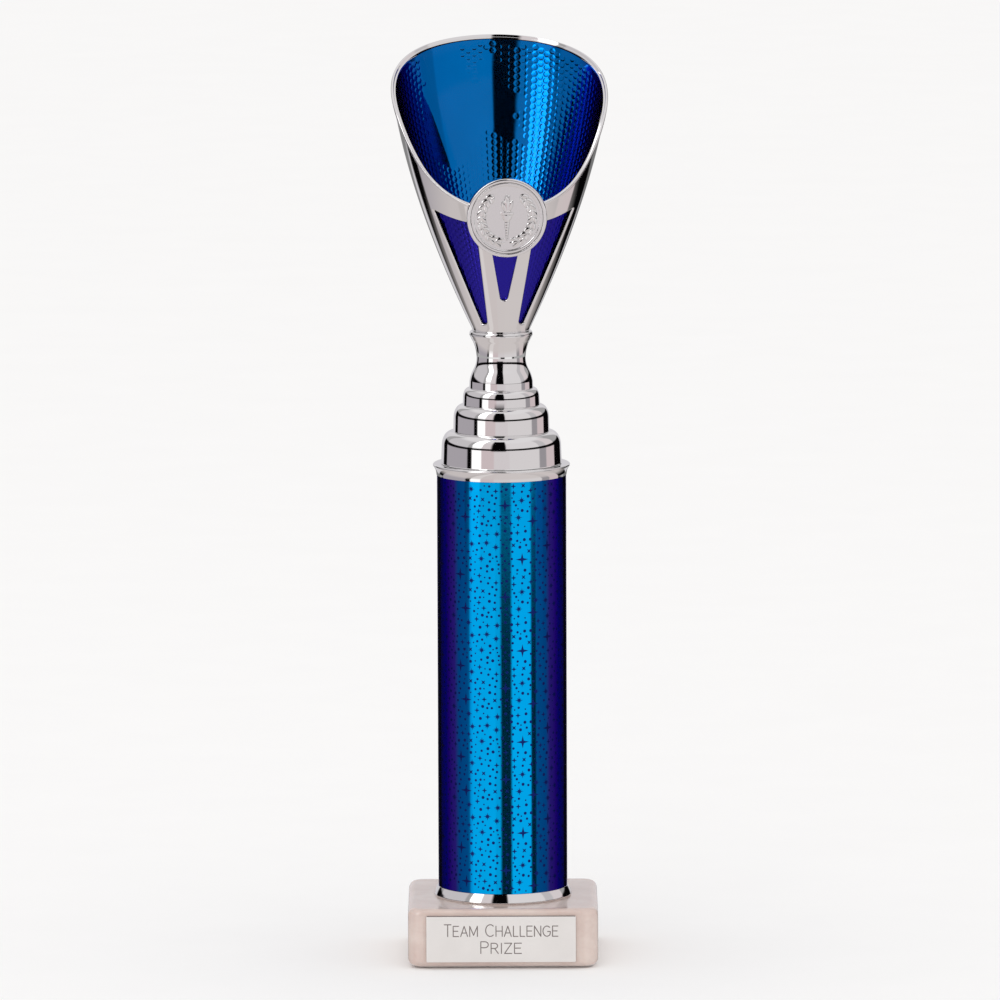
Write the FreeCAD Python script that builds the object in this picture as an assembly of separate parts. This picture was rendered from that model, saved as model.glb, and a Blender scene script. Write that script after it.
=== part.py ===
import FreeCAD, Part
import math
import os
from FreeCAD import Vector

# Column trophy: a stone block, a foil-wrapped column, a stepped riser and an openwork cup with a
# coloured liner, all stacked on one steel tie rod and clamped by a nut at each end.
# Millimetres. +Z is up, the front faces -Y, and the origin is under the middle of the felt pad.

# ---- Driving dimensions ----------------------------------------------------------------------
FELT_THICK = 0.6
BLOCK_SIDE = 66.0
BLOCK_HEIGHT = 20.4
BLOCK_EDGE = 2.5               # rounding of the level edges
BLOCK_CORNER = 5.3             # rounding of the upright edges
COLUMN_DIAMETER = 45.0
LOWER_COLLAR_HEIGHT = 3.5
LOWER_COLLAR_DIAMETER = 48.0
COLUMN_LENGTH = 144.4
UPPER_COLLAR_HEIGHT = 4.0
UPPER_COLLAR_DIAMETER = 47.6
RISER_HEIGHT = 46.4
SOCKET_DEPTH = 2.0
CUP_HEIGHT = 101.8
CUP_TURN_DEG = 4.0             # how far from square with the block the cup is clamped
CUP_BASE_RADIUS = 9.7
CUP_MOUTH_RADIUS = 39.1
CUP_WALL = 1.2
CENTRE_DIAMETER = 25.0
CENTRE_TILT_DEG = 6.0
CENTRE_HEIGHT = 45.0           # of the disc's middle above the cup's bottom
ROD_DIAMETER = 6.0
PLATE_WIDTH = 51.9
PLATE_HEIGHT = 16.2
PLATE_MIDDLE_X = -0.7          # the plate is stuck on a little to one side
PLATE_MIDDLE_HEIGHT = 10.1     # of the plate's middle above the block's underside

# ---- Heights worked out from them ------------------------------------------------------------
BLOCK_BOTTOM = FELT_THICK
BLOCK_TOP = BLOCK_BOTTOM + BLOCK_HEIGHT
COLUMN_BOTTOM = BLOCK_TOP + LOWER_COLLAR_HEIGHT
COLUMN_TOP = COLUMN_BOTTOM + COLUMN_LENGTH
RISER_BOTTOM = COLUMN_TOP + UPPER_COLLAR_HEIGHT
RISER_TOP = RISER_BOTTOM + RISER_HEIGHT
CUP_BOTTOM = RISER_TOP - SOCKET_DEPTH
CUP_TOP = CUP_BOTTOM + CUP_HEIGHT

# ---- Smaller sizes ---------------------------------------------------------------------------
SLIP = 0.05                    # gap between pieces that sit inside one another
ROD_HOLE_RADIUS = 3.3
FOIL_THICK = 0.2
TUBE_WALL = 1.8
SPIGOT_DEPTH = 12.0
SPIGOT_WALL = 1.8
BOSS_RADIUS = 5.5
RIB_THICK = 1.4
NUT_ACROSS_FLATS = 10.0
NUT_THICK = 5.0
WASHER_RADIUS = 9.0
WASHER_THICK = 1.6
CUP_WASHER_RADIUS = 6.0
CUP_WASHER_THICK = 1.2
LOCK_WASHER_THICK = 1.6
LOCK_WASHER_RADIUS = 5.4
COUNTERBORE_RADIUS = 11.0
COUNTERBORE_DEPTH = 11.0
ROD_SPARE = 2.0                # rod left showing past each nut
THREAD_PITCH = 1.0
THREAD_DEPTH = 0.55
THREAD_LENGTH = 16.0
LINER_GAP = 0.1
LINER_THICK = 0.35
CUP_FLOOR = 3.0
RIM_PROUD = 0.4
# How far these edges are moved, in Y and Z, from the mouth's outer edge:
RIM_BAND = (0.6, -1.2)         # the lower side of the rim band
RIM_STEP = (0.7, -0.5)         # the inner half of the wall
LINER_STEP = (1.3, -0.8)       # the liner
HOLDER_WALL = 1.35
HOLDER_THICK = 3.2
HOLDER_RECESS = 1.6
ADHESIVE_THICK = 0.4
CENTRE_THICK = 1.1

FAR = 200.0                    # reaches past everything, for cutting tools
AXIS = Vector(0, 0, 1)
ORIGIN = Vector(0, 0, 0)


# ---- Shape helpers ---------------------------------------------------------------------------
def outline(path, place):
    """A closed face. path holds points, ("arc", through, end) and ("curve", control, ..., end); place
    turns a pair into a Vector."""
    edges = []
    here = path[0]
    for step in path[1:] + [path[0]]:
        if step[0] == "arc":
            through, end = step[1], step[2]
            edges.append(Part.Arc(place(*here), place(*through), place(*end)).toShape())
        elif step[0] == "curve":
            end = step[-1]
            curve = Part.BezierCurve()
            curve.setPoles([place(*pole) for pole in (here,) + step[1:]])
            edges.append(curve.toShape())
        else:
            end = step
            if math.dist(here, end) > 1e-6:
                edges.append(Part.LineSegment(place(*here), place(*end)).toShape())
        here = end
    return Part.Face(Part.Wire(edges))


def turned(path):
    """A solid of revolution about the Z axis from an outline of (radius, height)."""
    face = outline(path, lambda r, z: Vector(r, 0, z))
    return face.revolve(ORIGIN, AXIS, 360)


def slab_x(path, half_width):
    """A prism along X from an outline of (y, z)."""
    face = outline(path, lambda y, z: Vector(-half_width, y, z))
    return face.extrude(Vector(2 * half_width, 0, 0))


def slab_y(path, start, length):
    """A prism along Y from an outline of (x, z), from y = start over length."""
    face = outline(path, lambda x, z: Vector(x, start, z))
    return face.extrude(Vector(0, length, 0))


def tube(outer, inner, bottom, top):
    """A plain ring standing on the Z axis."""
    whole = Part.makeCylinder(outer, top - bottom, Vector(0, 0, bottom))
    return whole.cut(Part.makeCylinder(inner, top - bottom, Vector(0, 0, bottom)))


def changed(path, change):
    """The same outline with change applied to each of its pairs."""
    result = []
    for step in path:
        if step[0] in ("arc", "curve"):
            result.append((step[0],) + tuple(change(*pair) for pair in step[1:]))
        else:
            result.append(change(*step))
    return result


def ribs(inner, outer, bottom, top, count, first_angle=45.0):
    """Flat radial ribs between two radii."""
    made = []
    for i in range(count):
        rib = Part.makeBox(outer - inner, RIB_THICK, top - bottom, Vector(inner, -RIB_THICK / 2, bottom))
        rib.rotate(ORIGIN, AXIS, first_angle + i * 360.0 / count)
        made.append(rib)
    return made


def save(name, shape):
    shape.exportStep(os.path.join("parts", name + ".step"))


# ---- Base ------------------------------------------------------------------------------------
def base_felt():
    """Soft pad glued under the block, well in from its edges, hiding the nut's recess."""
    inset = 4.0
    corner = 3.0
    side = BLOCK_SIDE - 2 * inset
    pad = Part.makeBox(side, side, FELT_THICK, Vector(-side / 2, -side / 2, 0))
    return pad.makeFillet(corner, [e for e in pad.Edges if abs(e.tangentAt(e.FirstParameter).z) > 0.9])


def marble_base():
    """Polished stone block with the rod's hole and, underneath, a recess for the nut."""
    half = BLOCK_SIDE / 2
    block = Part.makeBox(BLOCK_SIDE, BLOCK_SIDE, BLOCK_HEIGHT, Vector(-half, -half, BLOCK_BOTTOM))
    upright = [e for e in block.Edges if abs(e.tangentAt(e.FirstParameter).z) > 0.9]
    block = block.makeFillet(BLOCK_CORNER, upright)
    level = [e for e in block.Edges if abs(e.tangentAt(e.FirstParameter).z) < 0.1]
    block = block.makeFillet(BLOCK_EDGE, level)
    block = block.cut(Part.makeCylinder(COUNTERBORE_RADIUS, COUNTERBORE_DEPTH, Vector(0, 0, BLOCK_BOTTOM)))
    drilled_radius = ROD_HOLE_RADIUS + 0.7
    return block.cut(Part.makeCylinder(drilled_radius, FAR, ORIGIN))


PLATE_THICK = 0.8
TAPE_THICK = 0.25
PLATE_CORNER = 0.4
PLATE_MIDDLE_Z = BLOCK_BOTTOM + PLATE_MIDDLE_HEIGHT


def rounded_card(width, height, corner, front, thick):
    """A thin upright card on the block's front, its outer face at y = front."""
    corner_at = Vector(PLATE_MIDDLE_X - width / 2, front, PLATE_MIDDLE_Z - height / 2)
    card = Part.makeBox(width, thick, height, corner_at)
    upright = [e for e in card.Edges if abs(e.tangentAt(e.FirstParameter).y) > 0.9]
    return card.makeFillet(corner, upright)


def engraving_plate():
    front = -BLOCK_SIDE / 2 - TAPE_THICK - PLATE_THICK
    return rounded_card(PLATE_WIDTH, PLATE_HEIGHT, PLATE_CORNER, front, PLATE_THICK)


def plate_tape():
    margin = 1.0
    front = -BLOCK_SIDE / 2 - TAPE_THICK
    width, height = PLATE_WIDTH - 2 * margin, PLATE_HEIGHT - 2 * margin
    return rounded_card(width, height, PLATE_CORNER, front, TAPE_THICK)


# ---- Tie rod and its fasteners ---------------------------------------------------------------
CLAMP_FACE = BLOCK_BOTTOM + COUNTERBORE_DEPTH            # the counterbore's roof, where the washer bears
LOWER_NUT_BOTTOM = CLAMP_FACE - WASHER_THICK - LOCK_WASHER_THICK - NUT_THICK
CUP_FLOOR_TOP = CUP_BOTTOM + CUP_FLOOR
CUP_NUT_BOTTOM = CUP_FLOOR_TOP + CUP_WASHER_THICK + LOCK_WASHER_THICK
ROD_BOTTOM = LOWER_NUT_BOTTOM - ROD_SPARE
ROD_TOP = CUP_NUT_BOTTOM + NUT_THICK + ROD_SPARE


def tie_rod():
    """A stud with rolled threads at both ends, drawn as rings of the thread's form."""
    radius = ROD_DIAMETER / 2
    root = radius - THREAD_DEPTH
    turns = int(THREAD_LENGTH / THREAD_PITCH)
    path = [(0, ROD_BOTTOM), (root, ROD_BOTTOM)]
    for i in range(turns):
        foot = ROD_BOTTOM + i * THREAD_PITCH
        path += [(radius, foot + THREAD_PITCH / 2), (root, foot + THREAD_PITCH)]
    path.append((radius, ROD_BOTTOM + THREAD_LENGTH + THREAD_PITCH / 2))
    path.append((radius, ROD_TOP - THREAD_LENGTH - THREAD_PITCH / 2))
    for i in range(turns):
        foot = ROD_TOP - THREAD_LENGTH + i * THREAD_PITCH
        path += [(root, foot), (radius, foot + THREAD_PITCH / 2)]
    path += [(root, ROD_TOP), (0, ROD_TOP)]
    return turned(path)


def hex_nut(bottom):
    """A plain hexagon nut with its corners turned off at both ends, its bore clear of the rod."""
    corner = NUT_ACROSS_FLATS / math.sqrt(3)
    points = []
    for i in range(6):
        angle = math.radians(60 * i + 30)
        points.append(Vector(corner * math.cos(angle), corner * math.sin(angle), bottom))
    hexagon = Part.Face(Part.makePolygon(points + [points[0]]))
    nut = hexagon.extrude(Vector(0, 0, NUT_THICK))
    turned_off = 0.6
    flat = NUT_ACROSS_FLATS / 2 - 0.1
    top = bottom + NUT_THICK
    barrel = turned([
        (0, bottom), (flat, bottom), (corner, bottom + turned_off),
        (corner, top - turned_off), (flat, top), (0, top),
    ])
    bore = Part.makeCylinder(ROD_DIAMETER / 2 + SLIP, NUT_THICK, Vector(0, 0, bottom))
    return nut.common(barrel).cut(bore)


def lock_washer(bottom):
    """A split spring washer: a ring with one slanting gap."""
    gap_start, gap_length, gap_width, gap_slant_deg = 2.6, 4.0, 0.8, 35
    ring = tube(LOCK_WASHER_RADIUS, ROD_DIAMETER / 2 + 0.2, bottom, bottom + LOCK_WASHER_THICK)
    gap_corner = Vector(gap_start, -gap_width / 2, bottom - LOCK_WASHER_THICK)
    gap = Part.makeBox(gap_length, gap_width, 3 * LOCK_WASHER_THICK, gap_corner)
    gap.rotate(Vector(4, 0, bottom + LOCK_WASHER_THICK / 2), Vector(1, 0, 0), gap_slant_deg)
    return ring.cut(gap)


def base_washer():
    return tube(WASHER_RADIUS, ROD_HOLE_RADIUS, CLAMP_FACE - WASHER_THICK, CLAMP_FACE)


def cup_washer():
    return tube(CUP_WASHER_RADIUS, ROD_HOLE_RADIUS, CUP_FLOOR_TOP, CUP_FLOOR_TOP + CUP_WASHER_THICK)


# ---- Column ----------------------------------------------------------------------------------
COLUMN_RADIUS = COLUMN_DIAMETER / 2
TUBE_RADIUS = COLUMN_RADIUS - FOIL_THICK
TUBE_BORE = TUBE_RADIUS - TUBE_WALL
SPIGOT_RADIUS = TUBE_BORE - SLIP


def collar_inside(plate_side, deep_side):
    """The hidden half of a collar: a spigot that centres the tube, a boss round the rod and ribs."""
    low, high = sorted((plate_side, deep_side))
    parts = [
        tube(SPIGOT_RADIUS, SPIGOT_RADIUS - SPIGOT_WALL, low, high),
        tube(BOSS_RADIUS, ROD_HOLE_RADIUS, low, high),
    ]
    return parts + ribs(BOSS_RADIUS - 0.5, SPIGOT_RADIUS - 1.0, low, high, 4)


def lower_collar():
    """Flanged cap between the block and the column: a small round at its widest, then a bright slope
    that runs in towards the column."""
    edge = LOWER_COLLAR_DIAMETER / 2
    base, top = BLOCK_TOP, COLUMN_BOTTOM
    small_round = ("arc", (edge, base + 0.4), (edge - 0.08, base + 0.8))
    slope = ("arc", (edge - 0.58, base + 2.15), (COLUMN_RADIUS + 0.25, top))
    flange = turned([
        (ROD_HOLE_RADIUS, base), (edge - 0.25, base), small_round, slope, (ROD_HOLE_RADIUS, top),
    ])
    return flange.multiFuse(collar_inside(top, top + SPIGOT_DEPTH)).removeSplitter()


def upper_collar():
    """Flanged cap on the column's top: its edge flares upwards to a thin flat lip."""
    edge = UPPER_COLLAR_DIAMETER / 2
    base, top = COLUMN_TOP, RISER_BOTTOM
    flare = ("arc", (edge - 0.75, base + 2.1), (edge, top - 0.7))
    lip = ("arc", (edge - 0.02, top - 0.25), (edge - 0.4, top))
    flange = turned([
        (ROD_HOLE_RADIUS, base), (COLUMN_RADIUS + 0.05, base), (COLUMN_RADIUS + 0.15, base + 0.5),
        flare, lip, (ROD_HOLE_RADIUS, top),
    ])
    return flange.multiFuse(collar_inside(base, base - SPIGOT_DEPTH)).removeSplitter()


def column_tube():
    return tube(TUBE_RADIUS - 0.02, TUBE_BORE, COLUMN_BOTTOM, COLUMN_TOP)


def column_foil():
    """Wrapped film, with its glued overlap running up the back."""
    film = tube(COLUMN_RADIUS, TUBE_RADIUS, COLUMN_BOTTOM, COLUMN_TOP)
    overlap_deg = 16.0
    outer, inner = COLUMN_RADIUS + FOIL_THICK, COLUMN_RADIUS - FOIL_THICK / 2
    strips = []
    for radius in (outer, inner):
        start = Vector(0, 0, COLUMN_BOTTOM)
        strips.append(Part.makeCylinder(radius, COLUMN_LENGTH, start, AXIS, overlap_deg))
    overlap = strips[0].cut(strips[1])
    overlap.rotate(ORIGIN, AXIS, 90 - overlap_deg / 2)
    return film.fuse(overlap).removeSplitter()


# ---- Riser -----------------------------------------------------------------------------------
# Each tier: foot radius, radius where its shoulder starts, that height, and where the shoulder ends.
TIERS = [
    (20.95, 20.75, 6.0, 17.15, 11.3),
    (16.7, 16.6, 15.8, 13.65, 20.5),
    (13.4, 13.3, 23.0, 11.3, 26.4),
]
TIER_TOP_RADIUS = 11.15
# The waist sweeps in from a crease at its foot, then out again to its neck; the pairs between steer it.
WAIST_FOOT = (11.0, 29.0)
WAIST_SWEEP_IN = [(10.2, 33.4), (8.56, 33.0), (8.56, 37.4)]
WAIST_SWEEP_OUT = [(8.56, 40.0), (9.7, 42.75), (10.1, 43.2)]
LIP_RADIUS = 11.0
LIP_EDGE = 1.9
RISER_WALL = 1.8
RISER_HOLLOW_HEIGHT = 32.0     # how far up the riser its hollow reaches
RISER_RIB_HEIGHT = 20.0


def riser_outside():
    """The visible outline of the riser, from its foot up to its lip."""
    base, top = RISER_BOTTOM, RISER_TOP
    path = [(TIERS[0][0], base)]
    for i, (foot, wall_end, wall_height, shoulder_end, shoulder_height) in enumerate(TIERS):
        if i:
            path.append((foot, base + TIERS[i - 1][4]))
        path.append((wall_end, base + wall_height))
        fullness = 0.55        # makes the curve a quarter of an oval
        path.append((
            "curve",
            (wall_end, base + wall_height + (shoulder_height - wall_height) * fullness),
            (shoulder_end + (wall_end - shoulder_end) * fullness, base + shoulder_height),
            (shoulder_end, base + shoulder_height),
        ))
    path.append((TIER_TOP_RADIUS, base + TIERS[-1][4]))
    path.append((WAIST_FOOT[0], base + WAIST_FOOT[1]))
    for sweep in (WAIST_SWEEP_IN, WAIST_SWEEP_OUT):
        path.append(("curve", *[(radius, base + height) for radius, height in sweep]))
    path.append((LIP_RADIUS - 0.3, top - LIP_EDGE))
    path.append(("arc", (LIP_RADIUS, top - LIP_EDGE / 2), (LIP_RADIUS - 0.4, top)))
    return path


def riser_hollow():
    """The space inside the moulded riser: wide under the tiers, narrow through the waist."""
    base = RISER_BOTTOM
    wall = RISER_WALL
    return [
        (BOSS_RADIUS, base),
        (TIERS[0][0] - wall, base), (TIERS[0][1] - wall, base + TIERS[0][2] - 0.5),
        (TIERS[0][3] - wall, base + TIERS[0][4] - wall - 0.6),
        (TIERS[1][1] - wall, base + TIERS[1][2] - 0.5),
        (TIERS[1][3] - wall, base + TIERS[1][4] - wall - 0.6),
        (TIERS[2][1] - wall, base + TIERS[2][2] - 0.5),
        (TIERS[2][3] - wall, base + TIERS[2][4] - wall),
        (WAIST_FOOT[0] - wall - 0.6, base + WAIST_FOOT[1]),
        (BOSS_RADIUS, base + RISER_HOLLOW_HEIGHT),
    ]


def riser():
    path = riser_outside()
    path.append((CUP_BASE_RADIUS + 0.1, RISER_TOP))
    path.append((CUP_BASE_RADIUS + 0.1, CUP_BOTTOM))
    path.append((ROD_HOLE_RADIUS, CUP_BOTTOM))
    path.append((ROD_HOLE_RADIUS, RISER_BOTTOM))
    body = turned(path).cut(turned(riser_hollow()))
    rib_top = RISER_BOTTOM + RISER_RIB_HEIGHT
    stiff = ribs(BOSS_RADIUS - 0.5, TIERS[2][1] - RISER_WALL / 2, RISER_BOTTOM, rib_top, 4)
    return body.multiFuse(stiff).removeSplitter()


# ---- Cup -------------------------------------------------------------------------------------
FLARE_FOOT = CUP_BOTTOM + SOCKET_DEPTH
FLARE_CONTROL = (38.1, FLARE_FOOT + 59.1)
FLARE_TOP = CUP_TOP + 1.2


def flare_solid(inward, bottom):
    """Everything inside the cup's flared side, moved in by inward, above bottom and on past the rim."""
    lean_factor = 1.06         # the wall leans here, so its level thickness is a little more
    spare = 5.0                # the solid carries on past the rim, for the mouth to be cut from
    near = inward * lean_factor
    foot = CUP_BASE_RADIUS - near
    low = min(bottom, FLARE_FOOT)
    whole = turned([
        (0, low), (foot, low), (foot, FLARE_FOOT),
        ("curve", (FLARE_CONTROL[0] - near, FLARE_CONTROL[1]), (CUP_MOUTH_RADIUS - inward, FLARE_TOP)),
        (CUP_MOUTH_RADIUS - inward, FLARE_TOP + spare), (0, FLARE_TOP + spare),
    ])
    if bottom > low:
        whole = whole.cut(Part.makeCylinder(FAR, bottom - low, Vector(0, 0, low)))
    return whole


# The mouth's edge seen from the side, as (y, z): gently sloped at the back, steep past the middle and
# easier again towards the front.
MOUTH_BACK = (CUP_MOUTH_RADIUS + 0.6, CUP_TOP)
MOUTH_BACK_CONTROL = (17.0, CUP_TOP - 6.4)
MOUTH_MIDDLE = (0.0, CUP_TOP - 19.4)
MOUTH_STEEP_CONTROLS = [(-13.0, CUP_TOP - 29.3), (-13.5, CUP_TOP - 43.6)]
MOUTH_FRONT = (-29.5, CUP_TOP - 55.1)


def mouth_cut(shift_y=0.0, shift_z=0.0):
    """What the mouth removes from the cup, moved by the two shifts."""
    run = 20.0                 # the tool carries on straight past both ends of the curve
    front_slope = 0.72
    path = [
        (MOUTH_BACK[0] + run, CUP_TOP), MOUTH_BACK,
        ("curve", MOUTH_BACK_CONTROL, MOUTH_MIDDLE),
        ("curve", *MOUTH_STEEP_CONTROLS, MOUTH_FRONT),
        (MOUTH_FRONT[0] - run, MOUTH_FRONT[1] - run * front_slope),
        (MOUTH_FRONT[0] - run, CUP_TOP + run), (MOUTH_BACK[0] + run, CUP_TOP + run),
    ]
    tool = slab_x(path, FAR / 2)
    tool.translate(Vector(0, shift_y, shift_z))
    return tool


# Openings in the shell, as outlines of (x, z) on the right-hand side, measured up from the cup's bottom.
FRONT_SIDE_WINDOW = [
    (24.4, 45.9), ("curve", (17.5, 42.6), (10.5, 41.9)), (5.6, 6.2),
    ("arc", (6.6, 5.1), (7.8, 5.9)), ("curve", (16.6, 26.5), (24.4, 45.9)),
]
FRONT_MIDDLE_WINDOW = [(4.7, 32.5), (-4.7, 32.5), (-1.35, 15.2), ("arc", (0, 14.0), (1.35, 15.2))]
BACK_SIDE_WINDOW = [
    (30.4, 74.0), ("arc", (30.2, 76.4), (28.4, 77.6)), ("curve", (22.5, 80.4), (17.4, 81.6)),
    ("arc", (15.9, 81.1), (15.2, 79.6)), (5.6, 6.2),
    ("arc", (6.6, 5.1), (7.8, 5.9)), ("curve", (21.6, 41.0), (30.4, 74.0)),
]
BACK_MIDDLE_WINDOW = [
    (11.0, 81.8), ("arc", (10.7, 83.3), (9.4, 83.9)), ("curve", (0, 85.4), (-9.4, 83.9)),
    ("arc", (-10.7, 83.3), (-11.0, 81.8)), (-1.35, 15.2), ("arc", (0, 14.0), (1.35, 15.2)),
]


def windows():
    """Every tool that opens the shell, front ones cut towards -Y and back ones towards +Y."""
    tools = []
    for side, middle, start in (
        (FRONT_SIDE_WINDOW, FRONT_MIDDLE_WINDOW, -FAR),
        (BACK_SIDE_WINDOW, BACK_MIDDLE_WINDOW, 0.0),
    ):
        raised = changed(side, lambda x, z: (x, z + CUP_BOTTOM))
        tools.append(slab_y(raised, start, FAR))
        tools.append(slab_y(changed(raised, lambda x, z: (-x, z)), start, FAR))
        tools.append(slab_y(changed(middle, lambda x, z: (x, z + CUP_BOTTOM)), start, FAR))
    return tools


HOLDER_RADIUS = CENTRE_DIAMETER / 2 + HOLDER_WALL
HOLDER_MIDDLE = CUP_BOTTOM + CENTRE_HEIGHT
HOLDER_BACK = 28.6            # distance of the holder's back face from the cup's axis, at its middle


def on_holder(shape):
    """Moves a shape drawn about +Z, from the holder's back face outwards, to its place on the cup."""
    shape.rotate(ORIGIN, Vector(1, 0, 0), 90 + CENTRE_TILT_DEG)
    shape.translate(Vector(0, -HOLDER_BACK, HOLDER_MIDDLE))
    return shape


def clamped(shape):
    """Turns a finished piece of the cup to the angle at which the cup is clamped on its rod."""
    shape.rotate(ORIGIN, AXIS, CUP_TURN_DEG)
    return shape


def cup_shell():
    """Openwork moulding: flared wall, rim band, six windows, floor and the holder for the centre disc."""
    hollow = flare_solid(CUP_WALL, CUP_FLOOR_TOP)
    core = flare_solid(CUP_WALL / 2, CUP_FLOOR_TOP)
    skin = flare_solid(0.0, CUP_BOTTOM).cut(core).cut(mouth_cut())
    lining = core.cut(hollow).cut(mouth_cut(*RIM_STEP))
    wall = skin.fuse(lining)
    for tool in windows():
        wall = wall.cut(tool)

    band = flare_solid(-RIM_PROUD, FLARE_FOOT).cut(core)
    band = band.cut(mouth_cut()).common(mouth_cut(*RIM_BAND))

    neck_depth, neck_overlap = 24.0, 1.0
    neck_start = Vector(0, 0, -neck_depth)
    neck = on_holder(Part.makeCylinder(HOLDER_RADIUS, neck_depth + neck_overlap, neck_start))
    neck = neck.cut(hollow).cut(mouth_cut(0.0, -1.0))
    front_only = Part.makeBox(FAR, FAR, FAR, Vector(-FAR / 2, -FAR, CUP_BOTTOM))
    neck = neck.common(front_only)
    holder = on_holder(Part.makeCylinder(HOLDER_RADIUS, HOLDER_THICK))
    recess_floor = HOLDER_THICK - HOLDER_RECESS
    recess_radius = CENTRE_DIAMETER / 2 + SLIP
    recess = on_holder(Part.makeCylinder(recess_radius, HOLDER_THICK, Vector(0, 0, recess_floor)))

    body = wall.multiFuse([band, neck, holder]).cut(recess)
    body = body.cut(Part.makeCylinder(ROD_HOLE_RADIUS, CUP_FLOOR * 2, Vector(0, 0, CUP_BOTTOM - 1.0)))
    return clamped(body.removeSplitter())


def cup_liner():
    """Thin formed insert of coloured foil, seen through the mouth and the windows."""
    outside = flare_solid(CUP_WALL + LINER_GAP, CUP_FLOOR_TOP)
    inside = flare_solid(CUP_WALL + LINER_GAP + LINER_THICK, CUP_FLOOR_TOP - 1.0)
    return clamped(outside.cut(inside).cut(mouth_cut(*LINER_STEP)))


def centre_adhesive():
    recess_floor = HOLDER_THICK - HOLDER_RECESS
    pad = Part.makeCylinder(CENTRE_DIAMETER / 2 - 1.5, ADHESIVE_THICK, Vector(0, 0, recess_floor))
    return clamped(on_holder(pad))


def leaf(middle_x, middle_y, length, width, angle_deg, bottom, height):
    """A pointed leaf with two curved sides, as a thin prism."""
    tip = length / 2
    side = width / 2
    face = outline(
        [(-tip, 0), ("arc", (0, side), (tip, 0)), ("arc", (0, -side), (-tip, 0))],
        lambda x, y: Vector(x, y, bottom),
    )
    shape = face.extrude(Vector(0, 0, height))
    shape.rotate(ORIGIN, AXIS, angle_deg)
    shape.translate(Vector(middle_x, middle_y, 0))
    return shape


def centre_disc():
    """Stamped disc with a raised rim, a torch and two laurel branches."""
    radius = CENTRE_DIAMETER / 2
    base = HOLDER_THICK - HOLDER_RECESS + ADHESIVE_THICK
    face = base + CENTRE_THICK
    field = face - 0.15
    relief = 0.5
    blank = Part.makeCylinder(radius, CENTRE_THICK, Vector(0, 0, base))
    dish = Part.makeCylinder(radius - 1.1, CENTRE_THICK, Vector(0, 0, field))
    blank = blank.cut(dish)

    def flat(path):
        return outline(path, lambda x, y: Vector(x, y, field - 0.1)).extrude(Vector(0, 0, relief))

    handle = flat([(-1.0, -0.5), (-0.25, -8.0), (0.25, -8.0), (1.0, -0.5)])
    bowl = flat([
        (-2.1, 1.9), ("arc", (-1.6, 0.2), (-0.6, -0.9)), (0.6, -0.9), ("arc", (1.6, 0.2), (2.1, 1.9)),
    ])
    flame = flat([
        (-0.9, 2.0), ("arc", (-1.7, 4.2), (-0.2, 6.2)), ("arc", (0.3, 7.4), (0.1, 8.6)),
        ("arc", (2.4, 5.6), (0.9, 2.0)),
    ])
    pieces = [handle, bowl, flame]
    leaves_a_side = 9
    branch = radius - 3.6
    for i in range(leaves_a_side):
        around = math.radians(-72 + i * 14.5)
        for side in (-1, 1):
            for lean in (-26, 26):
                turn = math.degrees(around) + 90 + lean
                across = 0.75 if lean < 0 else -0.75
                x = (branch + across) * math.cos(around)
                y = (branch + across) * math.sin(around)
                angle = turn if side > 0 else 180 - turn
                pieces.append(leaf(side * x, y, 2.9, 1.0, angle, field - 0.1, relief * 0.8))
    return clamped(on_holder(blank.multiFuse(pieces).removeSplitter()))


PIECES = {
    "base_felt": base_felt,
    "marble_base": marble_base,
    "plate_tape": plate_tape,
    "engraving_plate": engraving_plate,
    "base_nut": lambda: hex_nut(LOWER_NUT_BOTTOM),
    "base_lock_washer": lambda: lock_washer(LOWER_NUT_BOTTOM + NUT_THICK),
    "base_washer": base_washer,
    "tie_rod": tie_rod,
    "lower_collar": lower_collar,
    "column_tube": column_tube,
    "column_foil": column_foil,
    "upper_collar": upper_collar,
    "riser": riser,
    "cup_shell": cup_shell,
    "cup_liner": cup_liner,
    "cup_washer": cup_washer,
    "cup_lock_washer": lambda: lock_washer(CUP_NUT_BOTTOM - LOCK_WASHER_THICK),
    "cup_nut": lambda: hex_nut(CUP_NUT_BOTTOM),
    "centre_adhesive": centre_adhesive,
    "centre_disc": centre_disc,
}

os.makedirs("parts", exist_ok=True)
for name, make in PIECES.items():
    save(name, make())
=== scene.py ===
import math
import random

import bmesh
import bpy
import numpy as np
from mathutils import Matrix, Vector
from mathutils.geometry import delaunay_2d_cdt


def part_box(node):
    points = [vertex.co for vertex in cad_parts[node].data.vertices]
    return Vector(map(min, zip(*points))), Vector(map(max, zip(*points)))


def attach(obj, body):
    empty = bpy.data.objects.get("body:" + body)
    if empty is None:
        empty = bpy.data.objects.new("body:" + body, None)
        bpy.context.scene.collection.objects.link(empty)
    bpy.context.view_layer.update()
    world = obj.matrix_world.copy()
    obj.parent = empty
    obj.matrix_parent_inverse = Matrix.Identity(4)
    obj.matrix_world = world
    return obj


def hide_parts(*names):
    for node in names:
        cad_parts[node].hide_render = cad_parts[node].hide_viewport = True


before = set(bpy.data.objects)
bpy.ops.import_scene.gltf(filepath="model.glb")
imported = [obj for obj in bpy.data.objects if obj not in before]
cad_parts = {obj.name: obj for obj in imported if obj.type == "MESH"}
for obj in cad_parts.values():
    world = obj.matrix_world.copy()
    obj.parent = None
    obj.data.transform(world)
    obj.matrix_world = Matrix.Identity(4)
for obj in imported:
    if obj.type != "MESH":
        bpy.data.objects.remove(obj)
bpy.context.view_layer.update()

# Column trophy: a stone block, a foil-wrapped column, a stepped riser and an openwork cup with a
# coloured liner. Shapes are drawn in millimetres, +Z up, front towards -Y, and turned into metres
# when a piece is made.

random.seed(20)
MM = 0.001


def edges_of(node):
    """A node's lowest and highest corners, in millimetres."""
    low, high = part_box(node)
    return low / MM, high / MM


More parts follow.
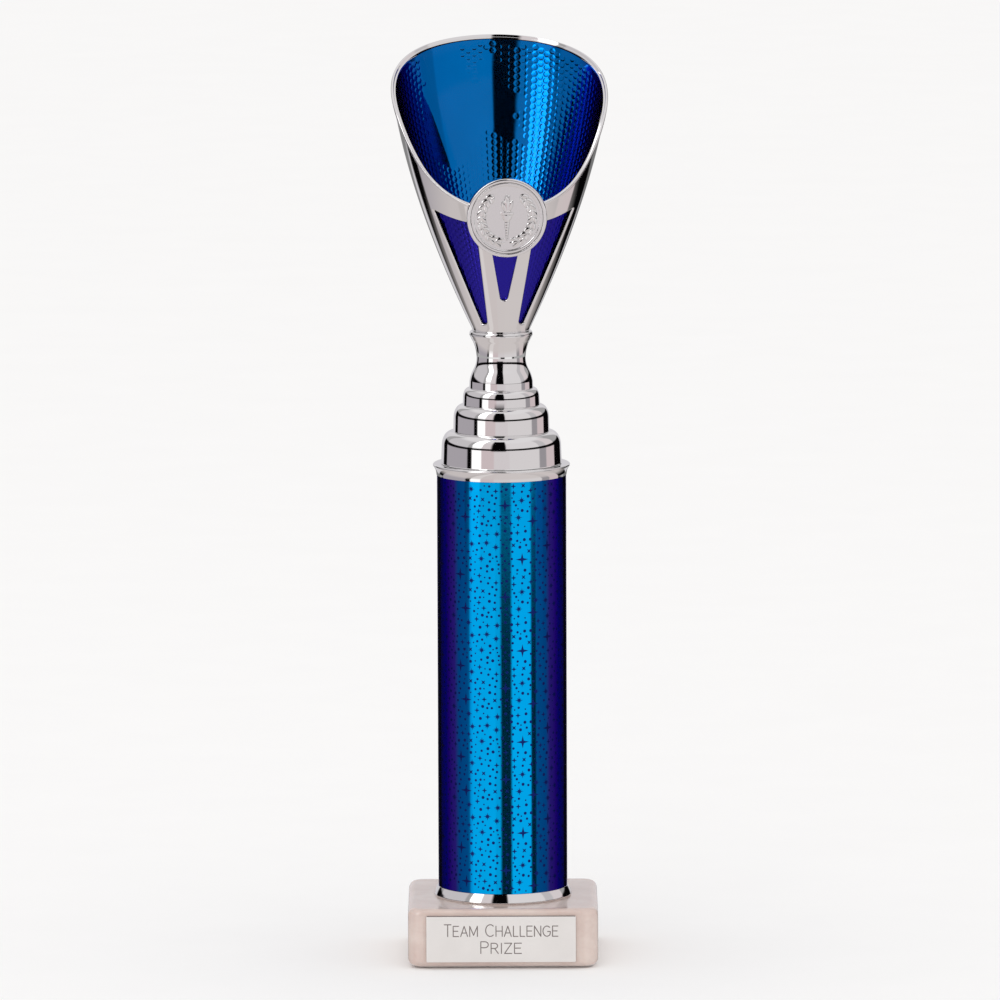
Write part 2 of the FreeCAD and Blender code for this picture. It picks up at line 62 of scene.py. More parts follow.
BLOCK_TOP = edges_of("marble_base")[1].z
PLATE_LOW, PLATE_HIGH = edges_of("engraving_plate")
FOIL_LOW, FOIL_HIGH = edges_of("column_foil")
RISER_LOW, RISER_HIGH = edges_of("riser")
CUP_LOW, CUP_HIGH = edges_of("cup_shell")
CUP_BOTTOM = CUP_LOW.z
CUP_TOP = round(CUP_HIGH.z, 1)
CUP_TURN = math.radians(4.0)
SEGMENTS = 256


# ---- Curves ----------------------------------------------------------------------------------
def bezier(poles, count):
    """Points along a Bezier curve of any degree, both ends included."""
    points = []
    degree = len(poles) - 1
    for t in np.linspace(0.0, 1.0, count):
        point = np.zeros(2)
        for i, pole in enumerate(poles):
            point += math.comb(degree, i) * (1 - t) ** (degree - i) * t ** i * np.array(pole, float)
        points.append(tuple(point))
    return points


def arc(start, through, end, count):
    """Points along the circle that passes through three points, both ends included."""
    (ax, ay), (bx, by), (cx, cy) = start, through, end
    d = 2 * (ax * (by - cy) + bx * (cy - ay) + cx * (ay - by))
    a2, b2, c2 = ax * ax + ay * ay, bx * bx + by * by, cx * cx + cy * cy
    mx = (a2 * (by - cy) + b2 * (cy - ay) + c2 * (ay - by)) / d
    my = (a2 * (cx - bx) + b2 * (ax - cx) + c2 * (bx - ax)) / d
    radius = math.hypot(ax - mx, ay - my)
    first = math.atan2(ay - my, ax - mx)
    middle = (math.atan2(by - my, bx - mx) - first) % (2 * math.pi)
    sweep = (math.atan2(cy - my, cx - mx) - first) % (2 * math.pi)
    if middle > sweep:
        sweep -= 2 * math.pi
    return [(mx + radius * math.cos(first + sweep * t), my + radius * math.sin(first + sweep * t))
            for t in np.linspace(0.0, 1.0, count)]


def drawn(path, count=10):
    """A closed outline from points, ("arc", through, end) and ("curve", control, ..., end)."""
    points = [path[0]]
    for step in path[1:]:
        if step[0] == "arc":
            points += arc(points[-1], step[1], step[2], count)[1:]
        elif step[0] == "curve":
            points += bezier([points[-1], *step[1:]], count)[1:]
        else:
            points.append(step)
    return points


def evenly(points, spacing):
    """The closed outline with extra points so that no side is longer than spacing."""
    result = []
    for here, there in zip(points, points[1:] + points[:1]):
        steps = max(1, math.ceil(math.dist(here, there) / spacing))
        for i in range(steps):
            t = i / steps
            result.append((here[0] + (there[0] - here[0]) * t, here[1] + (there[1] - here[1]) * t))
    return result


def eased(points, radius, steps=4):
    """The closed outline with its corners rounded by a small radius."""
    result = []
    total = len(points)
    for i, corner in enumerate(points):
        corner = Vector(corner)
        before = Vector(points[i - 1]) - corner
        after = Vector(points[(i + 1) % total]) - corner
        if before.length < 1e-6 or after.length < 1e-6:
            continue
        angle = before.angle(after)
        if angle > math.radians(155):
            result.append(tuple(corner))
            continue
        cut = min(radius / math.tan(angle / 2), before.length * 0.45, after.length * 0.45)
        first = corner + before.normalized() * cut
        last = corner + after.normalized() * cut
        result += bezier([tuple(first), tuple(corner), tuple(last)], steps + 1)
    return result


# ---- Mesh helpers ----------------------------------------------------------------------------
def made(name, points, faces, materials, corner_normals=None, face_materials=None):
    """A new object from points in millimetres."""
    mesh = bpy.data.meshes.new(name)
    mesh.from_pydata([tuple(c * MM for c in p) for p in points], [], faces)
    for each in materials:
        mesh.materials.append(each)
    mesh.polygons.foreach_set("use_smooth", [True] * len(mesh.polygons))
    if face_materials is not None:
        mesh.polygons.foreach_set("material_index", face_materials)
    mesh.update()
    if corner_normals is not None:
        mesh.normals_split_custom_set(corner_normals)
    piece = bpy.data.objects.new(name, mesh)
    bpy.context.scene.collection.objects.link(piece)
    return piece


def placed(piece, slot, *nodes, turned=False):
    """Rides a finished piece on the body, in place of CAD nodes."""
    if turned:
        piece.data.transform(Matrix.Rotation(CUP_TURN, 4, "Z"))
    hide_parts(*nodes)
    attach(piece, "root")


def profile_normals(profile, closed, sharp_deg=32.0):
    """For each side of a profile, the normals at its start and end, split at sharp corners."""
    count = len(profile)
    sides = count if closed else count - 1
    flat, lengths = [], []
    for i in range(sides):
        a, b = profile[i], profile[(i + 1) % count]
        length = math.dist(a, b)
        flat.append(np.array([b[1] - a[1], a[0] - b[0]]) / max(length, 1e-9))
        lengths.append(length)

    def joined(before, after):
        if np.dot(flat[before], flat[after]) < math.cos(math.radians(sharp_deg)):
            return None
        total = flat[before] * lengths[before] + flat[after] * lengths[after]
        return total / np.linalg.norm(total)

    starts, ends = [], []
    for i in range(sides):
        at_start = joined(i - 1, i) if closed or i > 0 else None
        at_end = joined(i, (i + 1) % sides) if closed or i < sides - 1 else None
        starts.append(flat[i] if at_start is None else at_start)
        ends.append(flat[i] if at_end is None else at_end)
    return starts, ends


def quads(rings):
    """Each quad between closed rings of equal length: low, next low, next high and high corner."""
    for low, high in zip(rings, rings[1:]):
        for j in range(len(low)):
            k = (j + 1) % len(low)
            yield [low[j], low[k], high[k], high[j]]


def lathed(profile, closed=True, segments=SEGMENTS):
    """Points, faces and corner normals of a turned shape. The profile has the outside on its right."""
    points, faces, normals = [], [], []
    angles = [2 * math.pi * j / segments for j in range(segments)]
    rows = []
    for r, z in profile:
        if r < 1e-6:
            rows.append([len(points)] * segments)
            points.append((0.0, 0.0, z))
        else:
            rows.append(list(range(len(points), len(points) + segments)))
            points += [(r * math.cos(a), r * math.sin(a), z) for a in angles]
    starts, ends = profile_normals(profile, closed)
    for i in range(len(starts)):
        low, high = rows[i], rows[(i + 1) % len(rows)]
        for j in range(segments):
            k = (j + 1) % segments
            corners = [
                (low[j], starts[i], j), (low[k], starts[i], k), (high[k], ends[i], k), (high[j], ends[i], j),
            ]
            kept = []
            for corner in corners:
                if corner[0] not in [other[0] for other in kept]:
                    kept.append(corner)
            if len(kept) < 3:
                continue
            faces.append([corner[0] for corner in kept])
            for _, n, at in kept:
                normals.append((n[0] * math.cos(angles[at]), n[0] * math.sin(angles[at]), n[1]))
    return points, faces, normals


def together(*shapes):
    """Several (points, faces, normals) as one."""
    points, faces, normals = [], [], []
    for some_points, some_faces, some_normals in shapes:
        start = len(points)
        points += list(some_points)
        faces += [[start + i for i in face] for face in some_faces]
        normals += list(some_normals)
    return points, faces, normals


# ---- Materials -------------------------------------------------------------------------------
class Look:
    """A node material under construction."""

    def __init__(self, name):
        self.material = bpy.data.materials.new(name)
        self.material.use_nodes = True
        self.tree = self.material.node_tree
        self.bsdf = self.tree.nodes["Principled BSDF"]
        self.place = self.add("ShaderNodeTexCoord").outputs["Object"]

    def add(self, kind, **settings):
        node = self.tree.nodes.new(kind)
        for key, value in settings.items():
            setattr(node, key, value)
        return node

    def set(self, socket, value):
        if isinstance(value, bpy.types.NodeSocket):
            self.tree.links.new(value, socket)
        else:
            socket.default_value = value

    def shader(self, **values):
        for key, value in values.items():
            self.set(self.bsdf.inputs[key.replace("_", " ")], value)

    def noise(self, size_mm, detail=3.0, rough=0.55, stretch=(1, 1, 1), place=None):
        mapping = self.add("ShaderNodeMapping")
        mapping.inputs["Scale"].default_value = stretch
        self.set(mapping.inputs["Vector"], place or self.place)
        node = self.add("ShaderNodeTexNoise")
        self.set(node.inputs["Vector"], mapping.outputs[0])
        node.inputs["Scale"].default_value = 1000.0 / size_mm
        node.inputs["Detail"].default_value = detail
        node.inputs["Roughness"].default_value = rough
        return node.outputs["Fac"]

    def ramp(self, factor, stops):
        node = self.add("ShaderNodeValToRGB")
        elements = node.color_ramp.elements
        while len(elements) < len(stops):
            elements.new(1.0)
        for element, (position, colour) in zip(elements, stops):
            element.position = position
        for element, (position, colour) in zip(elements, stops):
            element.color = colour if len(colour) == 4 else (*colour, 1.0)
        self.set(node.inputs["Fac"], factor)
        return node.outputs["Color"]

    def span(self, factor, low, high):
        """The factor spread from low to high."""
        node = self.add("ShaderNodeMapRange")
        self.set(node.inputs["Value"], factor)
        node.inputs["To Min"].default_value = low
        node.inputs["To Max"].default_value = high
        return node.outputs["Result"]

    def math(self, operation, *values):
        node = self.add("ShaderNodeMath", operation=operation)
        for socket, value in zip(node.inputs, values):
            self.set(socket, value)
        return node.outputs[0]

    def mix(self, factor, first, second, blend="MIX"):
        node = self.add("ShaderNodeMix", data_type="RGBA", blend_type=blend)
        self.set(node.inputs["Factor"], factor)
        for socket, value in ((node.inputs[6], first), (node.inputs[7], second)):
            self.set(socket, value if isinstance(value, bpy.types.NodeSocket) else (*value, 1.0))
        return node.outputs[2]

    def bump(self, height, depth_mm):
        node = self.add("ShaderNodeBump")
        node.inputs["Strength"].default_value = 1.0
        node.inputs["Distance"].default_value = depth_mm * MM
        self.set(node.inputs["Height"], height)
        return node.outputs["Normal"]


def chrome(name, tint=(0.83, 0.82, 0.82), roughness=(0.03, 0.06), wave_mm=0.004):
    """Bright plated plastic: mirror-like, very slightly uneven, with faint handling haze."""
    look = Look(name)
    haze = look.noise(14.0, detail=4.0)
    shade = look.span(look.noise(30.0, detail=2.0), 0.96, 1.04)
    colour = look.mix(1.0, tint, look.ramp(shade, [(0.0, (0, 0, 0)), (1.0, (1, 1, 1))]), "MULTIPLY")
    look.shader(
        Base_Color=colour, Metallic=1.0, Roughness=look.span(haze, *roughness),
        Normal=look.bump(look.noise(5.0, detail=1.0), wave_mm),
    )
    return look.material


def steel(name):
    """Zinc-plated steel with turning marks and blotches."""
    look = Look(name)
    marks = look.noise(1.2, detail=2.0, stretch=(1, 1, 6))
    colour = look.ramp(look.noise(2.5, detail=4.0), [(0.3, (0.42, 0.43, 0.45)), (0.7, (0.62, 0.63, 0.64))])
    look.shader(
        Base_Color=colour, Metallic=1.0, Roughness=look.span(marks, 0.25, 0.45),
        Normal=look.bump(marks, 0.02),
    )
    return look.material


def plastic(name, dark, light, size_mm=6.0, roughness=(0.4, 0.6)):
    """Plain moulded plastic or foam with a fine grain."""
    look = Look(name)
    grain = look.noise(0.6, detail=2.0)
    colour = look.ramp(look.noise(size_mm, detail=4.0), [(0.3, dark), (0.7, light)])
    look.shader(
        Base_Color=colour, Roughness=look.span(grain, *roughness), Normal=look.bump(grain, 0.03),
    )
    return look.material


def felt_look():
    """Dense pale felt: short crossed fibres, patchy shade and a soft sheen."""
    look = Look("felt_pale")
    fibres = look.noise(0.5, detail=6.0, rough=0.75)
    patches = look.noise(9.0, detail=3.0)
    colour = look.ramp(patches, [(0.3, (0.500, 0.470, 0.440)), (0.7, (0.600, 0.570, 0.540))])
    colour = look.mix(look.span(fibres, 0.0, 0.5), colour, (0.70, 0.67, 0.64))
    look.shader(
        Base_Color=colour, Roughness=0.95, Sheen_Weight=0.5, Normal=look.bump(fibres, 0.25),
    )
    return look.material


def marble_look():
    """Polished pinkish-cream stone with cloudy patches and a few faint veins."""
    look = Look("marble_pink")
    clouds = look.noise(26.0, detail=5.0, rough=0.6, stretch=(1.0, 1.0, 1.8))
    grain = look.noise(2.2, detail=5.0, rough=0.7)
    bend = look.noise(18.0, detail=3.0)
    colour = look.ramp(clouds, [
        (0.30, (0.610, 0.470, 0.425)), (0.48, (0.655, 0.520, 0.470)),
        (0.62, (0.710, 0.590, 0.535)), (0.78, (0.640, 0.495, 0.445)),
    ])
    colour = look.mix(look.span(grain, 0.0, 0.16), colour, (0.83, 0.76, 0.72))
    vein = look.math("ABSOLUTE", look.math("SUBTRACT", bend, 0.5))
    vein = look.ramp(vein, [(0.0, (1, 1, 1)), (0.022, (0, 0, 0))])
    colour = look.mix(look.math("MULTIPLY", vein, 0.10), colour, (0.50, 0.36, 0.32))
    look.shader(
        Base_Color=colour, Roughness=look.span(clouds, 0.12, 0.22), Subsurface_Weight=0.08,
        Subsurface_Radius=(0.004, 0.0025, 0.002), Coat_Weight=0.35, Coat_Roughness=0.05,
        Normal=look.bump(grain, 0.01),
    )
    return look.material


def dyed_metal(name, facing_stops, roughness, patch=(0.86, 1.10), dye_share=0.06, coat=0.0, outside=None,
               lean=0.0):
    """Metallised film under transparent dye: its colour deepens as it turns away from the eye, partly as the
    dye does and partly as painted reflection of the darker room at the sides. With outside, a sheet standing
    round the Z axis shows that colour where it is seen from outside. With lean, only its shading is tipped
    upwards and its shape is not, so that it mirrors higher panels."""
    look = Look(name)
    weight = look.add("ShaderNodeLayerWeight")
    weight.inputs["Blend"].default_value = 0.5
    # Partly painted reflection: this ramp darkens the colour towards the sides beyond what the dye alone
    # would do.
    colour = look.ramp(weight.outputs["Facing"], facing_stops)
    patches = look.span(look.noise(22.0, detail=4.0), *patch)
    shade = look.ramp(patches, [(0.0, (0, 0, 0)), (1.0, (1, 1, 1))])
    colour = look.mix(1.0, colour, shade, "MULTIPLY")
    if outside:
        level = look.add("ShaderNodeVectorMath", operation="MULTIPLY")
        look.set(level.inputs[0], look.place)
        level.inputs[1].default_value = (1, 1, 0)
        toward = look.add("ShaderNodeVectorMath", operation="DOT_PRODUCT")
        look.set(toward.inputs[0], level.outputs[0])
        look.set(toward.inputs[1], look.add("ShaderNodeNewGeometry").outputs["Incoming"])
        colour = look.mix(look.math("GREATER_THAN", toward.outputs["Value"], 0.0), colour, outside)
    normal = look.bump(look.noise(3.0, detail=2.0), 0.004)
    if lean:
        tipped = look.add("ShaderNodeVectorMath", operation="ADD")
        look.set(tipped.inputs[0], normal)
        tipped.inputs[1].default_value = (0, 0, lean)
        straight = look.add("ShaderNodeVectorMath", operation="NORMALIZE")
        look.set(straight.inputs[0], tipped.outputs[0])
        normal = straight.outputs[0]
    look.shader(
        Base_Color=colour, Metallic=1.0 - dye_share, Specular_Tint=(0.06, 0.03, 0.22, 1.0),
        Roughness=look.span(look.noise(1.5, detail=3.0), *roughness),
        Coat_Weight=coat, Coat_Roughness=0.04,
        Normal=normal,
    )
    return look.material


CHROME = chrome("chrome_plated")
SATIN_SILVER = chrome("silver_stamped", tint=(0.80, 0.79, 0.79), roughness=(0.09, 0.15), wave_mm=0.002)
STEEL = steel("steel_zinc")
FOAM = plastic("foam_tape", (0.62, 0.62, 0.60), (0.74, 0.74, 0.72), roughness=(0.7, 0.9))
TUBE_GREY = plastic("tube_plastic_grey", (0.20, 0.20, 0.21), (0.27, 0.27, 0.28))
FELT = felt_look()
MARBLE = marble_look()

# The dark stops towards the sides in the film and star-ink ramps are partly painted reflection of the darker
# room.
FILM = dyed_metal("film_blue", [
    (0.00, (0.000, 0.400, 0.860)), (0.12, (0.000, 0.380, 0.840)), (0.17, (0.000, 0.130, 0.460)),
    (0.27, (0.001, 0.100, 0.400)), (0.33, (0.040, 0.020, 0.300)), (0.66, (0.030, 0.013, 0.240)),
    (0.76, (0.004, 0.001, 0.050)),
], roughness=(0.03, 0.05), dye_share=0.03)
FILM_STAR = dyed_metal("film_star_ink", [
    (0.00, (0.010, 0.034, 0.230)), (0.30, (0.012, 0.018, 0.150)), (1.00, (0.010, 0.004, 0.060)),
], roughness=(0.28, 0.40))
# The liner ramp's darker stops towards its sides are partly painted reflection of the darker room.
LINER = dyed_metal("liner_blue", [
    (0.00, (0.000, 0.165, 0.520)), (0.30, (0.001, 0.140, 0.470)),
    (0.52, (0.030, 0.060, 0.360)), (0.75, (0.090, 0.035, 0.360)), (1.00, (0.045, 0.018, 0.230)),
], roughness=(0.03, 0.06), dye_share=0.02, coat=0.12, outside=(0.022, 0.014, 0.330), lean=0.14)


def plate_look():
    """Satin silver card with a fine upright brushing."""
    look = Look("plate_satin")
    brushing = look.noise(0.5, detail=3.0, stretch=(1, 1, 0.03))
    shade = look.noise(12.0, detail=3.0)
    colour = look.ramp(shade, [(0.3, (0.765, 0.735, 0.715)), (0.7, (0.805, 0.775, 0.755))])
    look.shader(
        Base_Color=colour, Metallic=0.08, Roughness=look.span(brushing, 0.30, 0.42),
        Normal=look.bump(brushing, 0.006),
    )
    return look.material


def engraved_and_edge_shade_look():
    """The darkened floor of an engraved line, also laid on the plate's upper cut edge as painted shade."""
    look = Look("plate_engraved_and_edge_shade")
    grain = look.noise(0.4, detail=4.0)
    look.shader(
        Base_Color=look.ramp(grain, [(0.3, (0.150, 0.125, 0.120)), (0.7, (0.230, 0.195, 0.185))]),
        Metallic=0.2, Roughness=0.6, Normal=look.bump(grain, 0.02),
    )
    return look.material


PLATE = plate_look()
ENGRAVED_AND_EDGE_SHADE = engraved_and_edge_shade_look()

# CAD pieces whose shape is already right only take a material.
KEPT = {
    "base_felt": FELT, "marble_base": MARBLE, "plate_tape": FOAM, "base_nut": STEEL,
    "base_lock_washer": STEEL, "base_washer": STEEL, "tie_rod": STEEL, "column_tube": TUBE_GREY,
    "cup_washer": STEEL, "cup_lock_washer": STEEL, "cup_nut": STEEL, "centre_adhesive": FOAM,
}
for node, look in KEPT.items():
    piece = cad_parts[node]
    if not piece.material_slots:
        piece.data.materials.append(look)
    for slot in piece.material_slots:
        slot.material = look


# ---- Riser and collars -----------------------------------------------------------------------
ROD_HOLE = 3.3
BOSS_RADIUS = 5.5
SPIGOT_OUTER, SPIGOT_INNER, SPIGOT_DEPTH = 20.43, 18.63, 12.0
SOCKET_DEPTH = 2.0             # how far the cup's foot sits down in the riser
# Each tier: foot radius, radius where its shoulder starts, that height, and where the shoulder ends.
TIERS = [
    (20.95, 20.75, 6.0, 17.15, 11.3),
    (16.7, 16.6, 15.8, 13.65, 20.5),
    (13.4, 13.3, 23.0, 11.3, 26.4),
]
# As (radius, height over the riser's foot): the waist's sweeps in and out, and the hollow inside.
WAIST_FOOT = [(11.2, 26.4), (11.12, 26.5), (11.1, 26.75), (11.02, 28.85)]
WAIST_SWEEP_IN = [(11.0, 29.0), (10.2, 33.4), (8.56, 33.0), (8.56, 37.4)]
WAIST_SWEEP_OUT = [(8.56, 37.4), (8.56, 40.0), (9.7, 42.75), (10.1, 43.2)]
LIP = [(10.3, 43.62), (10.7, 44.5), (11.0, 45.45)]
RISER_HOLLOW = [
    (BOSS_RADIUS, 0.0), (BOSS_RADIUS, 32.0), (8.6, 29.0), (9.5, 24.8), (11.5, 22.3), (11.85, 18.3),
    (14.8, 15.0), (15.35, 9.1), (18.9, 4.5), (19.4, 0.0),
]


def shoulder(outer, low, inner, high, fullness=2.15, count=16):
    """A quarter of a superellipse from a tier's wall over to its flat top."""
    points = []
    for t in np.linspace(0.0, math.pi / 2, count):
        across = math.cos(t) ** (2 / fullness) if math.cos(t) > 1e-9 else 0.0
        up = math.sin(t) ** (2 / fullness) if math.sin(t) > 1e-9 else 0.0
        points.append((inner + (outer - inner) * across, low + (high - low) * up))
    return points


def riser_profile():
    """The riser's outside, foot to lip, then down through its bore and hollow."""
    base, top = RISER_LOW.z, RISER_HIGH.z

    def raised(pairs):
        return [(radius, base + height) for radius, height in pairs]

    path = raised([(20.9, 0.0), (21.12, 0.1), (TIERS[0][0], 0.35)])
    floor = 0.0
    for i, (foot, wall_end, wall_height, shoulder_end, shoulder_height) in enumerate(TIERS):
        if i:
            ledge = base + floor
            path += [(foot + 0.25, ledge), (foot + 0.06, ledge + 0.06), (foot, ledge + 0.25)]
        path += shoulder(wall_end, base + wall_height, shoulder_end, base + shoulder_height)
        floor = shoulder_height
    path += raised(WAIST_FOOT + WAIST_SWEEP_IN[:1])
    path += bezier(raised(WAIST_SWEEP_IN), 20)[1:] + bezier(raised(WAIST_SWEEP_OUT), 14)[1:]
    *lip_foot, lip_middle = raised(LIP)
    path += lip_foot + arc(lip_foot[-1], lip_middle, (10.6, top - 0.06), 8)[1:]
    socket = top - SOCKET_DEPTH
    path += [(10.45, top), (9.95, top), (9.82, top - 0.12), (9.8, socket)]
    path += [(ROD_HOLE, socket), (ROD_HOLE, base)]
    return path + raised(RISER_HOLLOW)


def collar(flange, plate, spigot_end):
    """A collar: its flange outline closed over the rod's hole, and a spigot on the tube's side."""
    outer = lathed(flange)
    low, high = sorted((plate, spigot_end))
    ring = [(SPIGOT_OUTER, low), (SPIGOT_OUTER, high), (SPIGOT_INNER, high), (SPIGOT_INNER, low)]
    boss = [(BOSS_RADIUS, low), (BOSS_RADIUS, high), (ROD_HOLE, high), (ROD_HOLE, low)]
    return together(outer, lathed(eased(ring, 0.2)), lathed(eased(boss, 0.2), segments=64))


def lower_collar():
    base, top = BLOCK_TOP, FOIL_LOW.z
    flange = [(ROD_HOLE, base), (23.7, base)]
    flange += arc((23.78, base + 0.02), (23.99, base + 0.4), (23.92, base + 0.8), 7)
    flange += arc((23.92, base + 0.8), (23.42, base + 2.15), (22.8, top - 0.05), 8)[1:]
    flange += [(22.7, top), (ROD_HOLE, top)]
    return collar(flange, top, top + SPIGOT_DEPTH)


def upper_collar():
    base, top = FOIL_HIGH.z, RISER_LOW.z
    flange = [(ROD_HOLE, base), (22.5, base), (22.62, base + 0.08), (22.68, base + 0.5)]
    flange += arc((22.68, base + 0.5), (23.05, base + 2.1), (23.8, top - 0.72), 10)[1:]
    flange += arc((23.8, top - 0.72), (23.8, top - 0.28), (23.5, top - 0.02), 6)[1:]
    flange += [(23.3, top), (ROD_HOLE, top)]
    return collar(flange, base, base - SPIGOT_DEPTH)


TURNED = {"riser": lathed(riser_profile()), "lower_collar": lower_collar(), "upper_collar": upper_collar()}
for name, (points, faces, normals) in TURNED.items():
    placed(made(name + "_chrome", points, faces, [CHROME], normals), "silver_plastic", name)


# ---- Inlaid sheets ---------------------------------------------------------------------------
def inlaid(border, shapes, fill_points):
    """Triangles of a flat sheet inside border, each marked where it lies inside one of shapes."""
    points = [Vector(p) for p in border]
    edges = [(i, (i + 1) % len(border)) for i in range(len(border))]
    faces = []
    for shape in shapes:
        faces.append(list(range(len(points), len(points) + len(shape))))
        points += [Vector(p) for p in shape]
    points += [Vector(p) for p in fill_points]
    verts, _, triangles, _, _, origins = delaunay_2d_cdt(points, edges, faces, 0, 1e-6)
    marks = [1 if origin else 0 for origin in origins]
    return [tuple(v) for v in verts], [list(triangle) for triangle in triangles], marks


def star(x, y, tips, outer, inner, turn=0.0):
    """A star outline; its upright and level tips are the longest when it has eight."""
    points = []
    for i in range(tips * 2):
        angle = turn + math.pi * i / tips
        radius = inner if i % 2 else outer
        if tips == 8 and i % 4 == 2:
            radius = outer * 0.72
        points.append((x - radius * math.sin(angle), y + radius * math.cos(angle)))
    return points


def dot(x, y, radius, sides=8):
    return [(x + radius * math.cos(2 * math.pi * i / sides), y + radius * math.sin(2 * math.pi * i / sides))
            for i in range(sides)]


FOIL_RADIUS = 22.5
FOIL_LIFT = 0.2                # the overlap's rise over the sheet beneath
OVERLAP = math.radians(16.0)
ROUND = 2 * math.pi * FOIL_RADIUS
TILE_HEIGHT = 32.0
# Each motif, largest first: its name, the room it needs round it, and how many stand on a square mm.
MOTIFS = [
    ("big", 2.6, 0.0046), ("burst", 1.75, 0.011), ("middle", 1.15, 0.030), ("spot", 1.0, 0.022),
    ("dot", 0.72, 0.060), ("speck", 0.56, 0.050),
]
BIG_STARS_APART = 10.5


def sky(width, height):
    """Motifs scattered without touching over a tile that repeats upwards: (kind, x, y)."""
    taken = []
    for kind, room, amount in MOTIFS:
        wanted = int(width * height * amount)
        tries = 0
        while wanted and tries < 60000:
            tries += 1
            x, y = random.uniform(0, width), random.uniform(0, height)
            clear = True
            for _, ox, oy, other in taken:
                dx = abs(x - ox)
                dx = min(dx, width - dx)
                dy = abs(y - oy)
                dy = min(dy, height - dy)
                gap = room + other
                if kind == "big" and other > 2.0:
                    gap = BIG_STARS_APART
                if dx * dx + dy * dy < gap * gap:
                    clear = False
                    break
            if clear:
                taken.append((kind, x, y, room))
                wanted -= 1
    return taken


def motif(kind, x, y):
    if kind == "big":
        return star(x, y, 4, 2.3, 0.62)
    if kind == "burst":
        return star(x, y, 8, 1.45, 0.50)
    if kind == "middle":
        turned = math.pi / 4 if int(x * 7 + y * 3) % 3 == 0 else 0.0
        return star(x, y, 4, 1.0, 0.36, turned)
    if kind == "spot":
        return dot(x, y, 0.56, 10)
    if kind == "dot":
        return dot(x, y, 0.45)
    return dot(x, y, 0.30, 6)


def column_foil():
    """The wrapped film, unrolled, inlaid with its stars and rolled up again, overlapping at the back."""
    bottom, top = FOIL_LOW.z, FOIL_HIGH.z
    height = top - bottom
    length = ROUND + OVERLAP * FOIL_RADIUS
    border = evenly([(0, 0), (length, 0), (length, height), (0, height)], 1.4)
    shapes = []
    centres = []
    for kind, x, y, room in sky(ROUND, TILE_HEIGHT):
        for lap in (0, 1):
            for level in range(int(height / TILE_HEIGHT) + 2):
                px, py = x + lap * ROUND, y + level * TILE_HEIGHT - TILE_HEIGHT / 2
                if room < px < length - room and room < py < height - room:
                    shapes.append(motif(kind, px, py))
                    centres.append((px, py, room))
    centres_xy = np.array([c[:2] for c in centres])
    reach = np.array([c[2] for c in centres])
    fill = []
    step = 1.7
    for row in range(1, int(height / step)):
        for column in range(1, int(length / step)):
            p = (column * step + (row % 2) * step / 2, row * step)
            if p[0] > length - step / 2:
                continue
            if np.all(np.hypot(*(centres_xy - p).T) > reach * 0.9 + 0.1):
                fill.append(p)
    flat, faces, marks = inlaid(border, shapes, fill)
    start_angle = math.pi / 2 - OVERLAP / 2
    points, normals_at = [], []
    for u, v in flat:
        angle = start_angle + u / FOIL_RADIUS
        rise = min(1.0, max(0.0, (u - ROUND + 1.2) / 1.2))
        radius = FOIL_RADIUS - 0.01 + (FOIL_LIFT - 0.01) * rise * rise * (3 - 2 * rise)
        radius -= 0.01 * max(0.0, 1 - u / 1.0)
        points.append((radius * math.cos(angle), radius * math.sin(angle), bottom + v))
        normals_at.append((math.cos(angle), math.sin(angle), 0.0))
    count = len(points)
    seam = sorted((i for i in range(count) if flat[i][0] > length - 1e-4), key=lambda i: flat[i][1])
    inner = {}
    for i in seam:
        angle = start_angle + flat[i][0] / FOIL_RADIUS
        inner[i] = len(points)
        radius = FOIL_RADIUS - 0.02
        points.append((radius * math.cos(angle), radius * math.sin(angle), points[i][2]))
    normals = [normals_at[i] for face in faces for i in face]
    seam_angle = start_angle + length / FOIL_RADIUS
    across = (-math.sin(seam_angle), math.cos(seam_angle), 0.0)
    for low, high in zip(seam, seam[1:]):
        faces.append([low, inner[low], inner[high], high])
        marks.append(0)
        normals += [across] * 4
    return made("column_film", points, faces, [FILM, FILM_STAR], normals, marks)


placed(column_foil(), "blue_foil", "column_foil")


# ---- Engraving plate -------------------------------------------------------------------------
def bow(cx, cy, rx, ry, first, last, count=9):
    """Part of an oval, from one angle to another in degrees."""
    return [(cx + rx * math.cos(math.radians(a)), cy + ry * math.sin(math.radians(a)))
            for a in np.linspace(first, last, count)]


# Single-line capitals on a box one unit high: width, then strokes.
LETTERS = {
    "A": (0.78, [[(0, 0), (0.39, 1), (0.78, 0)], [(0.13, 0.34), (0.65, 0.34)]]),
    "C": (0.80, [bow(0.45, 0.5, 0.45, 0.5, 48, 312, 17)]),
    "E": (0.60, [[(0.6, 1), (0, 1), (0, 0), (0.6, 0)], [(0, 0.52), (0.52, 0.52)]]),
    "G": (0.84, [bow(0.45, 0.5, 0.45, 0.5, 48, 320, 17) + [(0.84, 0.46), (0.52, 0.46)]]),
    "H": (0.70, [[(0, 0), (0, 1)], [(0.7, 0), (0.7, 1)], [(0, 0.52), (0.7, 0.52)]]),
    "I": (0.06, [[(0.03, 0), (0.03, 1)]]),
    "L": (0.52, [[(0, 1), (0, 0), (0.52, 0)]]),
    "M": (0.86, [[(0, 0), (0, 1), (0.43, 0.12), (0.86, 1), (0.86, 0)]]),
    "N": (0.72, [[(0, 0), (0, 1), (0.72, 0), (0.72, 1)]]),
    "P": (0.56, [[(0, 0), (0, 1), (0.3, 1)] + bow(0.30, 0.745, 0.26, 0.255, 90, -90) + [(0, 0.49)]]),
    "R": (0.62, [[(0, 0), (0, 1), (0.3, 1)] + bow(0.30, 0.745, 0.26, 0.255, 90, -90) + [(0, 0.49)],
                 [(0.30, 0.49), (0.62, 0)]]),
    "T": (0.66, [[(0, 1), (0.66, 1)], [(0.33, 1), (0.33, 0)]]),
    "Z": (0.62, [[(0, 1), (0.62, 1), (0, 0), (0.62, 0)]]),
}


